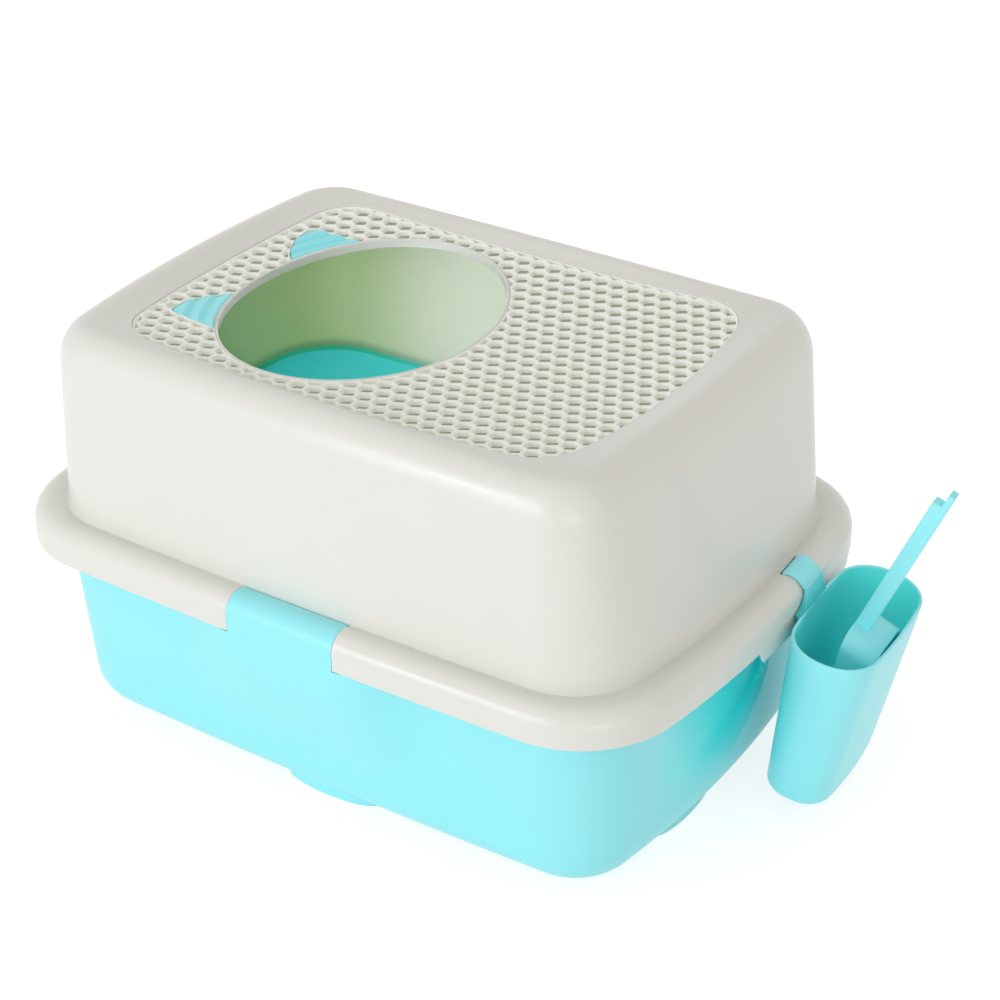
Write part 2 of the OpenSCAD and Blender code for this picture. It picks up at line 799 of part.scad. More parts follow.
// The pan, in a frame along its floor: its back wall keeps square to the handle
module pan() {
    along = [cos(pan_bend), -sin(pan_bend)];
    under = pan_wall * [-sin(pan_bend), -cos(pan_bend)];
    step = (pan_wid - 2 * pan_wall) / sieve_count;
    slot_low = 14;
    lip_rise = 8;
    difference() {
        across(pan_wid)
            polygon([
                [0, 0],
                pan_deep * along,
                [pan_deep, -pan_len / 4],
                [pan_lip_deep, -pan_len + lip_rise],
                [pan_wall, -pan_len],
                [0, -pan_len]
            ]);
        across(pan_wid - 2 * pan_wall)
            polygon([
                under + pan_wall * (1 + sin(pan_bend)) / cos(pan_bend) * along,
                under + 2 * pan_deep * along,
                [2 * pan_deep, -pan_len - 1],
                [pan_wall, -pan_len - 1]
            ]);
        for (i = [0:sieve_count - 1])
            translate([-1, (i - (sieve_count - 1) / 2) * step - sieve_slot / 2, slot_low - pan_len])
                cube([pan_wall + 2, sieve_slot, pan_len - 2 * slot_low]);
    }
}

module scoop() {
    color(aqua)
        at_scoop() {
            rotate([0, -pan_bend, 0])
                pan();
            across(handle_wid)
                polygon([
                    [pan_wall, -pan_wall / 2],
                    [handle_deep, -pan_wall / 2],
                    [handle_deep, handle_len + prong_len],
                    [handle_deep - prong_deep, handle_len + prong_len],
                    [handle_deep - prong_deep, handle_len],
                    [0, handle_len],
                    [0, 0]
                ]);
        }
}

tray();
hood();
honeycomb_deck();
ear_front();
ear_back();
scoop_holder();
scoop();
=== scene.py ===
"""The looks of a top entry litter box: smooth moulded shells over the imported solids, their plastics,
a pale floor and soft studio light. Sizes are in millimetres and are turned into metres in new_piece."""

import math

import bpy
import numpy as np
from mathutils import Matrix, Vector
from mathutils.geometry import delaunay_2d_cdt


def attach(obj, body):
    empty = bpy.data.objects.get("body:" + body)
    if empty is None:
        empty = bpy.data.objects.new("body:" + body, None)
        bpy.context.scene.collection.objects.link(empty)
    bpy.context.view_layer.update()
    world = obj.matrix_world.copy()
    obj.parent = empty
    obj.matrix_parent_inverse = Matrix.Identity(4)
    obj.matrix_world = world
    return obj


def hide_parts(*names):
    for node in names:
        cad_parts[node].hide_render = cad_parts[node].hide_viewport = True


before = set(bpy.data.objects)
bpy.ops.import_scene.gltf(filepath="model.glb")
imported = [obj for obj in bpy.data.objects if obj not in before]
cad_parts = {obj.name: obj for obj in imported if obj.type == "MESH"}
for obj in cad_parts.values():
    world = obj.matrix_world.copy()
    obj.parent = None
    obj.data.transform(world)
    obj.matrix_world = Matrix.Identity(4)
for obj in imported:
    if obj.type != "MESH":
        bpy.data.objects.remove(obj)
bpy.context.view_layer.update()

MM = 0.001

# The solids' sizes, as the part's source has them
TRAY_BASE = (468, 308, 48, 3, 7)
TRAY_RIM = (484, 334, 58, 3, 7)
TRAY_EDGE = 30
TRAY_WALL = 2.6
FOOT_LEN = 78
FOOT_TALL = 9
FOOT_INSET = 10
FOOT_END_SHIFT = 26
FLANGE = (534, 370, 74, 3, 7)
FLANGE_LOW = 142
FLANGE_TOP = 168
FLANGE_ROUND = 13
WALL_FOOT = 165.5
WALL = (487, 327, 58, 3, 7)
TOP = (452, 322, 42, 1.5, 7)
HOOD_TOP = 310
SHOULDER_RISE = 27
SHOULDER_RUN = 20
HOOD_WALL = 2.4
NOTCH_HALF = 44
SKIRT_DEEP = 9.5
SKIRT_HALF = 69
SKIRT_STEP = 7.5
DECK = (370, 258, 36, 1.5, 7)
CELL_PITCH = 13
CELL_WALL = 2.6
GRID_ALONG = 6.4
GRID_ACROSS = 6.75
HOLE_LEN = 181
HOLE_WID = 227
HOLE_SHIFT = 59.5
COLLAR_WID = 2
EAR_TIP = (-160.5, 74)
EAR_TIP_R = 7
EAR_START = 16.5
EAR_STOP = 45.5
EAR_BOW = 5
EAR_LAPS = 3
EAR_TIP_TURN = (92, 192)
EAR_STEPS = 12
CUP_MOUTH = (64.5, 129, 29, 0.05, 1.5)
CUP_BASE = (49.5, 108, 21, 0.05, 1.5)
CUP_TALL = 128
CUP_BASE_SHIFT = 5.5
CUP_WALL = 2.2
CUP_LEAN = 9
CUP_YAW = 4.5
CUP_SIDE = 55
CUP_HEIGHT = 148
STRAP_WID = 26
STRAP_THICK = 2.6
STRAP_FILLET = 13
TONGUE_DEEP = 11
SLOT_SET = 0.5
PAN_WID = 50
PAN_DEEP = 26
PAN_LIP_DEEP = 6
PAN_LIP_TALL = 8
PAN_WALL = 2.2
SIEVE_SLOT = 4.5
SIEVE_COUNT = 5
SIEVE_END = 14
HANDLE_LEN = 115
HANDLE_WID = 9
HANDLE_DEEP = 11
PRONG_LEN = 11
PRONG_DEEP = 4.5
SCOOP_LEAN = 14.5
PAN_LEAN = 2.5
SCOOP_OUT = 32.5
SCOOP_SINK = 2
LIFT_GAP = 0.3
SEAT_GAP = 0.3

# The photographed deck is a shallow dish, which the source keeps flat
DISH_LOW = 297.4
DISH_RISE_LONG = 5.7
DISH_RISE_WIDE = 6.0

# Edges that turn by more than this many degrees stay sharp, on most pieces and in the deck and the ears
SHARP = 40
SHARP_INSERT = 50

# A ring's points: the steps of a corner's arc, and places along the sides as shares of half a side
CORNER_STEPS = 20
LONG_T = np.linspace(-1, 1, 53)[1:-1]
SHORT_T = np.linspace(-1, 1, 39)[1:-1]


def denser(*stretches):
    """The places along a short side, closer together on stretches of (from, to, count)."""
    return np.unique(np.round(np.concatenate([SHORT_T, *(np.linspace(*s) for s in stretches)]), 4))


HOOD_RIGHT_T = denser((-0.19, -0.09, 15))
TRAY_RIGHT_T = denser((-0.7, -0.05, 17), (0.42, 0.49, 13))


def mix(a, b, t):
    return tuple(p * (1 - t) + q * t for p, q in zip(a, b))


def grown(line, by):
    length, width, corner, long_bow, short_bow = line
    return (length + 2 * by, width + 2 * by, max(corner + by, 1.0), long_bow, short_bow)


def bow_radius(half, bow):
    return (half * half + bow * bow) / (2 * bow)


def side_reach(line, y):
    """How far an outline reaches along X at a distance from the middle."""
    radius = bow_radius(line[1] / 2 - line[2], line[4])
    return line[0] / 2 - radius + math.sqrt(radius * radius - y * y)


def arc(middle, radius, angles):
    return np.array(middle) + radius * np.stack([np.cos(angles), np.sin(angles)], axis=1)


def outline(line, right=SHORT_T):
    """The points of a bowed, round-cornered outline, anticlockwise from the right side's front end."""
    length, width, corner, long_bow, short_bow = line
    side_r = bow_radius(width / 2 - corner, short_bow)
    long_r = bow_radius(length / 2 - corner, long_bow)
    side = np.array([length / 2 - side_r, 0.0])
    long = np.array([0.0, width / 2 - long_r])
    apart = np.linalg.norm(long - side)
    along = (long - side) / apart
    near = side_r - corner
    reach = (near**2 - (long_r - corner) ** 2 + apart**2) / (2 * apart)
    middle = side + reach * along + math.sqrt(near**2 - reach**2) * np.array([-along[1], along[0]])
    side_turn = math.atan2(middle[1], middle[0] - side[0])
    long_turn = math.atan2(middle[1] - long[1], middle[0])
    right_side = arc(side, side_r, side_turn * right)
    left_side = -arc(side, side_r, side_turn * SHORT_T)
    back_side = arc(long, long_r, math.pi / 2 + (math.pi / 2 - long_turn) * LONG_T)
    corner_arc = arc(middle, corner, np.linspace(side_turn, long_turn, CORNER_STEPS + 1))
    next_arc = (corner_arc * (-1, 1))[::-1]
    return np.concatenate(
        [right_side, corner_arc, back_side, next_arc, left_side, -corner_arc, -back_side, -next_arc]
    )


def level(points, z):
    """A ring of points at a height, which may differ from point to point."""
    heights = np.broadcast_to(np.asarray(z, float), (len(points),))
    return np.column_stack([points, heights])


def ring(line, z, right):
    return level(outline(line, right), z)


def quarter(steps):
    """A quarter round of radius 1: how much of its turn is done across, and how much is left upwards."""
    return [(1 - math.cos(a), 1 - math.sin(a)) for a in np.linspace(0, math.pi / 2, steps + 1)]


def dish(points):
    """Height of the photographed deck's face."""
    x, y = np.asarray(points, float).T
    return DISH_LOW + DISH_RISE_LONG * (2 * x / DECK[0]) ** 2 + DISH_RISE_WIDE * (2 * y / DECK[1]) ** 2


def on_deck(points, up=0):
    """A ring of points at a height over the deck's face."""
    return level(points, dish(points) + up)


def smooth_step(t):
    """From 0 to 1 with a soft start and end, and level beyond."""
    t = np.clip(t, 0, 1)
    return t * t * (3 - 2 * t)


def skin(rings, closed=False, caps=False):
    """Points and quads between rings of one length; closed joins the last ring to the first."""
    count = len(rings[0])
    points = np.concatenate(rings)
    last = len(rings) if closed else len(rings) - 1
    faces = []
    for r in range(last):
        low = r * count
        high = ((r + 1) % len(rings)) * count
        for i in range(count):
            n = (i + 1) % count
            faces.append((low + i, low + n, high + n, high + i))
    if caps:
        faces.append(tuple(range(count - 1, -1, -1)))
        faces.append(tuple(range(len(points) - count, len(points))))
    return points, faces


def strip(rows):
    """Quads between open rows of one length."""
    count = len(rows[0])
    lows = [r * count + i for r in range(len(rows) - 1) for i in range(count - 1)]
    return [(low, low + 1, low + count + 1, low + count) for low in lows]


def add_object(name, data):
    made = bpy.data.objects.new(name, data)
    bpy.context.scene.collection.objects.link(made)
    return made


def mesh_in_metres(name, points, faces):
    mesh = bpy.data.meshes.new(name)
    mesh.from_pydata([tuple(float(c) * MM for c in p) for p in points], [], faces)
    return mesh


def shade_smooth(mesh, sharp):
    """Smooth shading, apart from edges that turn by more than an angle in degrees."""
    mesh.polygons.foreach_set("use_smooth", [True] * len(mesh.polygons))
    mesh.set_sharp_from_angle(angle=math.radians(sharp))


def new_piece(name, points, faces, body, materials, indices=None, sharp=SHARP):
    """A smooth-shaded mesh that rides on a body; indices says which material each face has."""
    mesh = mesh_in_metres(name, points, faces)
    mesh.validate()
    for material in materials:
        mesh.materials.append(material)
    if indices is not None:
        mesh.polygons.foreach_set("material_index", indices)
    shade_smooth(mesh, sharp)
    piece = add_object(name, mesh)
    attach(piece, body)
    return piece


def apply_modifiers(piece, sharp=SHARP):
    """Keeps the result of a piece's modifiers as its mesh."""
    evaluated = piece.evaluated_get(bpy.context.evaluated_depsgraph_get())
    mesh = bpy.data.meshes.new_from_object(evaluated)
    piece.modifiers.clear()
    piece.data = mesh
    shade_smooth(mesh, sharp)


def cut(piece, cutters):
    """Cuts solids, given as (points, faces), out of a piece."""
    helpers = []
    for points, faces in cutters:
        helper = add_object("cutter", mesh_in_metres("cutter", points, faces))
        modifier = piece.modifiers.new("cut", "BOOLEAN")
        modifier.operation = "DIFFERENCE"
        modifier.solver = "EXACT"
        modifier.object = helper
        helpers.append(helper)
    apply_modifiers(piece)
    for helper in helpers:
        bpy.data.objects.remove(helper)


def rounded(piece, width):
    """Rounds a piece's sharp edges."""
    modifier = piece.modifiers.new("round", "BEVEL")
    modifier.width = width * MM
    modifier.segments = 3
    modifier.limit_method = "ANGLE"
    modifier.angle_limit = math.radians(30)
    apply_modifiers(piece)


def block(low, high):
    """A box as points and faces."""
    (x0, y0, z0), (x1, y1, z1) = low, high
    corners = np.array([(x, y, z) for z in (z0, z1) for y in (y0, y1) for x in (x0, x1)])
    faces = [(0, 2, 3, 1), (4, 5, 7, 6), (0, 1, 5, 4), (2, 6, 7, 3), (0, 4, 6, 2), (1, 3, 7, 5)]
    return corners, faces


def turned(points, matrix):
    points = np.asarray(points, float)
    return points @ np.array(matrix.to_3x3()).T + np.array(matrix.translation)


def rotation(degrees, axis):
    return Matrix.Rotation(math.radians(degrees), 4, axis)


def metres(matrix):
    """The same placement with its shift in metres."""
    moved = matrix.copy()
    moved.translation = matrix.translation * MM
    return moved


# The plastics' variation of colour, as a share, and the height of their grain in metres
SPECKLE = 0.02
GRAIN = 0.0006


def new_node(tree, kind, **values):
    """A shader node with the values of its inputs, whose names have _ for a space."""
    made = tree.nodes.new(kind)
    for name, value in values.items():
        made.inputs[name.replace("_", " ")].default_value = value
    return made


def colour_mix(tree, blend="MIX"):
    """A node that mixes its colours A and B."""
    made = tree.nodes.new("ShaderNodeMix")
    made.data_type = "RGBA"
    made.blend_type = blend
    return made


def noise(tree, scale, detail):
    """Noise over the object's own coordinates."""
    made = new_node(tree, "ShaderNodeTexNoise", Scale=scale, Detail=detail)
    place = tree.nodes.new("ShaderNodeTexCoord")
    tree.links.new(place.outputs["Object"], made.inputs["Vector"])
    return made.outputs["Fac"]


def mould_plastic(name, colour, roughness, coat=0.08, depth=0.0):
    """Moulded plastic with slowly varying colour and gloss and a fine grain. Depth lets light in."""
    material = bpy.data.materials.new(name)
    material.use_nodes = True
    tree = material.node_tree
    tree.nodes.clear()
    output = tree.nodes.new("ShaderNodeOutputMaterial")
    shader = new_node(tree, "ShaderNodeBsdfPrincipled", IOR=1.49, Coat_Weight=coat, Coat_Roughness=0.12)
    if depth:
        shader.inputs["Subsurface Weight"].default_value = 1
        shader.inputs["Subsurface Radius"].default_value = (1, 1, 1)
        shader.inputs["Subsurface Scale"].default_value = depth
    slow = noise(tree, 9, 3)
    tone = colour_mix(tree)
    tone.inputs["A"].default_value = (*(c * (1 - SPECKLE) for c in colour), 1)
    tone.inputs["B"].default_value = (*(min(1, c * (1 + SPECKLE)) for c in colour), 1)
    gloss = new_node(tree, "ShaderNodeMapRange", To_Min=roughness - 0.04, To_Max=roughness + 0.05)
    fine = new_node(tree, "ShaderNodeBump", Strength=0.12, Distance=GRAIN * 0.1)
    wave = new_node(tree, "ShaderNodeBump", Strength=0.25, Distance=GRAIN)
    for start, end in (
        (slow, tone.inputs["Factor"]),
        (slow, gloss.inputs["Value"]),
        (tone.outputs["Result"], shader.inputs["Base Color"]),
        (gloss.outputs["Result"], shader.inputs["Roughness"]),
        (noise(tree, 900, 2), fine.inputs["Height"]),
        (noise(tree, 14, 1), wave.inputs["Height"]),
        (fine.outputs["Normal"], wave.inputs["Normal"]),
        (wave.outputs["Normal"], shader.inputs["Normal"]),
        (shader.outputs["BSDF"], output.inputs["Surface"]),
    ):
        tree.links.new(start, end)
    return material


cream = mould_plastic("cream_plastic", (0.755, 0.75, 0.71), 0.34, coat=0.3)
# The hood's inside is a lighter, greener copy of the cream: painted light, the glow that comes through the
# walls
cream_inside = mould_plastic("cream_plastic_inside", (0.84, 0.83, 0.71), 0.45, depth=0.0012)
# The deck's plastics are a lit and a shaded copy of the hood's cream: painted light on the rib tops,
# painted shade deep in the cells
lattice = mould_plastic("deck_plastic", (0.95, 0.965, 0.91), 0.5, coat=0.0)
lattice_shaded = mould_plastic("deck_plastic_shaded", (0.45, 0.48, 0.35), 0.55, coat=0.0)
aqua = mould_plastic("aqua_plastic", (0.31, 0.855, 0.92), 0.38)
# A lighter copy of the aqua for the holder, the scoop and the ears: painted light, as where they are lit
# more strongly
aqua_lit = mould_plastic("aqua_plastic_lit", (0.32, 0.91, 0.99), 0.36)
# The insides' copies of the aqua are a deeper, brighter cyan: painted bounce light and shade inside the
# hollows
aqua_cup_inside = mould_plastic("aqua_plastic_cup", (0.12, 0.99, 1.0), 0.42, depth=0.008)
aqua_inside = mould_plastic("aqua_plastic_inside", (0.14, 0.93, 0.96), 0.42, depth=0.005)
aqua_tray = mould_plastic("aqua_plastic_tray", (0.31, 0.86, 0.92), 0.38)
# The strap's copy has the same painted lighter colour
aqua_strap = mould_plastic("aqua_plastic_strap", (0.32, 0.91, 0.99), 0.36)


def change_base(material, blend):
    """A mix node between a material's base colour and its shader."""
    tree = material.node_tree
    base = tree.nodes["Principled BSDF"].inputs["Base Color"]
    changed = colour_mix(tree, blend)
    tree.links.new(base.links[0].from_socket, changed.inputs["A"])
    tree.links.new(changed.outputs["Result"], base)
    return tree, changed


def deepen(material, attribute, colour):
    """Mixes a deeper colour into a material where a mesh attribute says so."""
    tree, deeper = change_base(material, "MIX")
    deeper.inputs["B"].default_value = (*colour, 1)
    share = tree.nodes.new("ShaderNodeAttribute")
    share.attribute_name = attribute
    tree.links.new(share.outputs["Fac"], deeper.inputs["Factor"])


def tint_along(material, axis, low, high, colours):
    """Multiplies a material by colours in turn along an axis, from low to high in metres."""
    tree, tinted = change_base(material, "MULTIPLY")
    tinted.inputs["Factor"].default_value = 1
    place = tree.nodes.new("ShaderNodeTexCoord")
    split = tree.nodes.new("ShaderNodeSeparateXYZ")
    reach = new_node(tree, "ShaderNodeMapRange", From_Min=low, From_Max=high)
    ramp = tree.nodes.new("ShaderNodeValToRGB")
    ramp.color_ramp.interpolation = "EASE"
    while len(ramp.color_ramp.elements) < len(colours):
        ramp.color_ramp.elements.new(0.5)
    for element, (share, colour) in zip(ramp.color_ramp.elements, colours):
        element.position = share
        element.color = (*colour, 1)
    tree.links.new(place.outputs["Object"], split.inputs["Vector"])
    tree.links.new(split.outputs[axis], reach.inputs["Value"])
    tree.links.new(reach.outputs["Result"], ramp.inputs["Fac"])
    tree.links.new(ramp.outputs["Color"], tinted.inputs["B"])


# The recess and the strap's foot are painted in a deeper colour: painted shade
deepen(aqua_tray, "recess", (0.03, 0.95, 0.95))
deepen(aqua_strap, "foot", (0.04, 0.56, 0.58))

# Where the hood's wall meets the tray's rim, its foot is painted with the tray's teal and a dark green
# painted shadow of the gap; at the left end the wall is painted darker and greener, as painted shade
FOOT_PAINTED_TRAY_AND_SHADOW = (
    (0.0, (0.10, 0.90, 1.0)),
    (0.30, (0.10, 0.85, 1.0)),
    (0.40, (0.50, 0.70, 0.62)),
    (1.0, (1, 1, 1)),
)
LEFT_PAINTED_SHADE = ((0.0, (0.85, 0.98, 0.58)), (1.0, (1, 1, 1)))
tint_along(cream_inside, "Z", 0.162, 0.176, FOOT_PAINTED_TRAY_AND_SHADOW)
tint_along(cream_inside, "X", -0.24, -0.09, LEFT_PAINTED_SHADE)


def hood_outline(line):
    return outline(line, HOOD_RIGHT_T)


def hood_ring(line, z):
    return level(hood_outline(line), z)


def flange_round(line, top, radius, steps):
    """Rings over a quarter round, from an outline's wall up and inwards."""
    return [hood_ring(grown(line, -radius * done), top - radius * left) for done, left in quarter(steps)]


def hood_wall_line(z):
    return mix(WALL, TOP, (z - WALL_FOOT) / (HOOD_TOP - WALL_FOOT))


def hood_shoulder(by, steps):
    """Rings over the hood's shoulder: the leaning wall goes on up as it curves inwards."""
    rings = []
    for done, left in quarter(steps):
        z = HOOD_TOP - by - (SHOULDER_RISE - by) * left
        rings.append(hood_ring(grown(hood_wall_line(z), -by - (SHOULDER_RUN - by) * done), z))
    return rings


def entrance(by, angles):
    """Points of the entrance's oval, moved outwards."""
    x = (HOLE_LEN / 2 + by) * np.cos(angles) - HOLE_SHIFT
    y = (HOLE_WID / 2 + by) * np.sin(angles)
    return np.column_stack([x, y])


def oval(by, seen_from):
    """The entrance's oval, moved outwards, with one point in the direction of each given point."""
    x, y = seen_from.T
    return entrance(by, np.arctan2(y / HOLE_WID, (x + HOLE_SHIFT) / HOLE_LEN))


def flange_edge(by, z):
    """A ring at the flange's lower edge, which lies lower behind the scoop holder."""
    points = hood_outline(grown(FLANGE, by))
    x, y = points.T
    share = smooth_step((SKIRT_HALF + SKIRT_STEP / 2 - np.abs(y - CUP_SIDE)) / SKIRT_STEP) * (x > 0)
    return level(points, z - SKIRT_DEEP * share)


# Small steps that the photograph shows on the deck, and a cell's least edge and area
CELL_BORDER = 0.95
LEAST_EDGE = 0.7
LEAST_CELL = 4
EAR_GAP = 1.1
FRAME_STEP = 1.0
FRAME_ROUND = 0.5
DECK_DEEP = 4.6
COLLAR_DEEP = 6.0
# The collar's crown, as distances out from the entrance and heights over the deck
COLLAR_CROWN = ((2.0, -0.3), (1.85, 0.1), (1.45, 0.4), (1.0, 0.5), (0.55, 0.4), (0.15, 0.1), (0.0, -0.3))
# The shallow gutter round the wall's foot, as shares of the way to the wall and heights over the flange
GUTTER = ((0.25, -0.1), (0.45, -0.35), (0.62, -0.8), (0.76, -1.3), (0.87, -1.6), (0.95, -1.2), (0.99, 0.2))
# The flange's lower edge is slightly round, and its face is upright up to here
EDGE_ROUND = 0.9
FACE_TOP = 148
ROOF = grown(FLANGE, -FLANGE_ROUND)


def seat_rings(border, rim, deep):
    """Rings from the deck's border to the entrance's rim, at a depth under the dish."""
    return [on_deck(border * (1 - t) + rim * t, -deep) for t in np.linspace(0, 1, 11)]


def hood_outside():
    """The hood's skin from the flange's lower edge over the outside to the collar's inner face."""
    rings = [flange_edge(-EDGE_ROUND * left, FLANGE_LOW + EDGE_ROUND * done) for done, left in quarter(4)]
    rings.append(hood_ring(FLANGE, FACE_TOP))
    rings += flange_round(FLANGE, FLANGE_TOP, FLANGE_ROUND, 14)
    for t, z in GUTTER:
        rings.append(hood_ring(mix(ROOF, WALL, t), FLANGE_TOP + z))
    for z in np.linspace(FLANGE_TOP + 2, HOOD_TOP - SHOULDER_RISE, 12)[:-1]:
        rings.append(hood_ring(hood_wall_line(z), z))
    rings += hood_shoulder(0, 18)
    crest = grown(TOP, -SHOULDER_RUN)
    frame_edge = grown(DECK, SEAT_GAP + FRAME_ROUND)
    edge_height = dish(hood_outline(frame_edge)) + FRAME_STEP
    for t in np.linspace(0, 1, 11)[1:]:
        share = 0.75 * smooth_step(t) + 0.25 * t * t
        points = hood_outline(mix(crest, frame_edge, t))
        rings.append(level(points, HOOD_TOP * (1 - share) + edge_height * share))
    points = hood_outline(grown(DECK, SEAT_GAP))
    rings.append(on_deck(points, FRAME_STEP - FRAME_ROUND))
    rings += seat_rings(points, oval(COLLAR_WID, points), DECK_DEEP)
    for by, up in (*COLLAR_CROWN, (0, 0.3 - COLLAR_DEEP), (0.3, -COLLAR_DEEP)):
        rings.append(on_deck(oval(by, points), up))
    return rings


def hood_inside():
    """The hood's skin from under the collar down the inside to the flange's lower edge."""
    ceiling = hood_outline(grown(DECK, SEAT_GAP + HOOD_WALL))
    rim = oval(COLLAR_WID + 4, ceiling)
    rings = seat_rings(ceiling, rim, DECK_DEEP + HOOD_WALL)[::-1]
    rings.append(on_deck(ceiling, FRAME_STEP - HOOD_WALL - 1))
    rings += hood_shoulder(HOOD_WALL, 12)[::-1]
    for z in np.linspace(HOOD_TOP - SHOULDER_RISE, FLANGE_TOP, 8)[1:]:
        rings.append(hood_ring(grown(hood_wall_line(z), -HOOD_WALL), z))
    rings.append(hood_ring(grown(WALL, -HOOD_WALL), WALL_FOOT - HOOD_WALL))
    rings.append(hood_ring(grown(mix(ROOF, WALL, 0.6), -1), FLANGE_TOP - 0.6 - HOOD_WALL))
    inner = grown(FLANGE, -HOOD_WALL)
    rings += flange_round(inner, FLANGE_TOP - HOOD_WALL, FLANGE_ROUND - HOOD_WALL, 8)[::-1]
    rings.append(flange_edge(-HOOD_WALL, FLANGE_LOW + 0.8))
    rings.append(flange_edge(-HOOD_WALL + 0.6, FLANGE_LOW))
    return rings


def holder_frame():
    """The back of the holder's mouth, turned to the bowed end of the flange."""
    face = side_reach(FLANGE, CUP_SIDE)
    move = Matrix.Translation((face + LIFT_GAP + STRAP_THICK, CUP_SIDE, CUP_HEIGHT))
    return move @ rotation(CUP_YAW, "Z")


HOLDER = holder_frame()
SLOT_IN = FLANGE_ROUND + SLOT_SET
# The slot's open part behind the strap
SLOT_SHOWN = 2.4


def make_hood():
    outer = hood_outside()
    points, faces = skin(outer + hood_inside(), closed=True)
    indices = (np.arange(len(faces)) >= len(outer) * len(outer[0])).astype(int)
    hood = new_piece("hood_shell", points, faces, "hood", [cream, cream_inside], indices)
    front = block(
        (-NOTCH_HALF, -FLANGE[1] / 2 - 1, FLANGE_LOW - 1),
        (NOTCH_HALF, -WALL[1] / 2 - LIFT_GAP, FLANGE_TOP + 1),
    )
    back = (front[0] * (-1, -1, 1), front[1])
    slot = block(
        (-SLOT_IN - 2 * STRAP_THICK - SLOT_SHOWN, -STRAP_WID / 2 - LIFT_GAP, 0),
        (-SLOT_IN - STRAP_THICK, STRAP_WID / 2 + LIFT_GAP, 60),
    )
    cut(hood, [front, back, (turned(slot[0], HOLDER), slot[1])])
    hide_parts("hood")


def clipped(polygon, point, normal):
    """The part of a convex polygon on the side of a line to which its normal points."""
    heights = [(p - point) @ normal for p in polygon]
    kept = []
    for i, p in enumerate(polygon):
        n = (i + 1) % len(polygon)
        if heights[i] >= 0:
            kept.append(p)
        if (heights[i] >= 0) != (heights[n] >= 0):
            t = heights[i] / (heights[i] - heights[n])
            kept.append(p + t * (polygon[n] - p))
    return kept


def area(polygon):
    if len(polygon) < 3:
        return 0.0
    x, y = np.array(polygon).T
    return 0.5 * abs(np.dot(x, np.roll(y, -1)) - np.dot(y, np.roll(x, -1)))


def edge_normals(points):
    """Middles of a closed outline's edges, with normals that point outwards."""
    along = np.roll(points, -1, axis=0) - points
    normals = np.stack([along[:, 1], -along[:, 0]], axis=1)
    normals /= np.linalg.norm(normals, axis=1)[:, None]
    return (points + np.roll(points, -1, axis=0)) / 2, normals


def around_collar(angles, gap):
    """Points beside the collar, at angles in degrees from the entrance's left end."""
    return entrance(gap, np.radians(180 - angles))


def all_round_collar(steps, gap):
    return around_collar(-np.linspace(0, 360, steps + 1)[:-1], COLLAR_WID + gap)


def ear_outline(side, by):
    """An ear: its inner side follows the collar, its tip is round and its end side bows outwards."""
    spread = 1.5 * by
    along_rim = np.linspace(EAR_START - spread, EAR_STOP + spread, EAR_STEPS + 1)
    rim = around_collar(along_rim, COLLAR_WID + EAR_GAP - by)
    tip = arc(EAR_TIP, EAR_TIP_R + by, np.radians(np.linspace(*EAR_TIP_TURN, EAR_STEPS + 1)))
    run = rim[0] - tip[-1]
    out = np.array([run[1], -run[0]]) / np.linalg.norm(run)
    t = np.linspace(0, 1, EAR_STEPS + 1)[1:-1, None]
    end_side = tip[-1] + t * run + 4 * t * (1 - t) * EAR_BOW * out
    points = np.concatenate([rim, tip, end_side])
    if side < 0:
        points = (points * (1, -1))[::-1]
    return points


def without_short_edges(polygon):
    kept = []
    for p in polygon:
        if not kept or np.linalg.norm(p - kept[-1]) > LEAST_EDGE:
            kept.append(p)
    if len(kept) > 1 and np.linalg.norm(kept[0] - kept[-1]) <= LEAST_EDGE:
        kept.pop()
    return kept


def inset(polygon, by):
    """A convex polygon moved inwards; no corner goes past 0.6 of its way to the middle."""
    points = np.array(polygon)
    inwards = -edge_normals(points)[1]
    bisectors = np.roll(inwards, 1, axis=0) + inwards
    bisectors /= np.maximum((bisectors**2).sum(axis=1) / 2, 0.4)[:, None]
    steps = by * bisectors
    limits = 0.6 * np.linalg.norm(points.mean(axis=0) - points, axis=1)
    return points + steps * np.minimum(1, limits / np.linalg.norm(steps, axis=1))[:, None]


def deck_cells():
    """The honeycomb's openings, cut off where they meet the frame, the collar and the ears."""
    border_at, border_out = edge_normals(outline(grown(DECK, -CELL_BORDER))[::4])
    fences = [edge_normals(all_round_collar(120, CELL_BORDER))]
    for side in (-1, 1):
        fences.append(edge_normals(ear_outline(side, CELL_BORDER)))
    corner = (CELL_PITCH - CELL_WALL) / math.sqrt(3)
    hexagon = arc((0, 0), corner, np.radians(30 + 60 * np.arange(6)))
    row_pitch = CELL_PITCH * math.sqrt(3) / 2
    rows = math.ceil(DECK[1] / 2 / row_pitch) + 1
    columns = math.ceil(DECK[0] / 2 / CELL_PITCH) + 1
    cells = []
    for row in range(-rows, rows + 1):
        for column in range(-columns, columns + 1):
            shift = 0.5 if row % 2 else 0.0
            x = (column + shift) * CELL_PITCH + GRID_ALONG
            middle = np.array([x, row * row_pitch + GRID_ACROSS])
            cell = list(middle + hexagon)
            near = np.argsort(np.linalg.norm(border_at - middle, axis=1))[:6]
            for i in near:
                cell = clipped(cell, border_at[i], -border_out[i])
            for at, out in fences:
                near = np.argsort(np.linalg.norm(at - middle, axis=1))[:8]
                if np.linalg.norm(at[near[0]] - middle) > 3 * CELL_PITCH and not inside(middle, at):
                    continue
                options = [clipped(cell, at[i], out[i]) for i in near]
                cell = max(options, key=area)
            cell = without_short_edges(cell)
            if area(cell) > LEAST_CELL:
                cells.append(np.array(cell))
    return cells


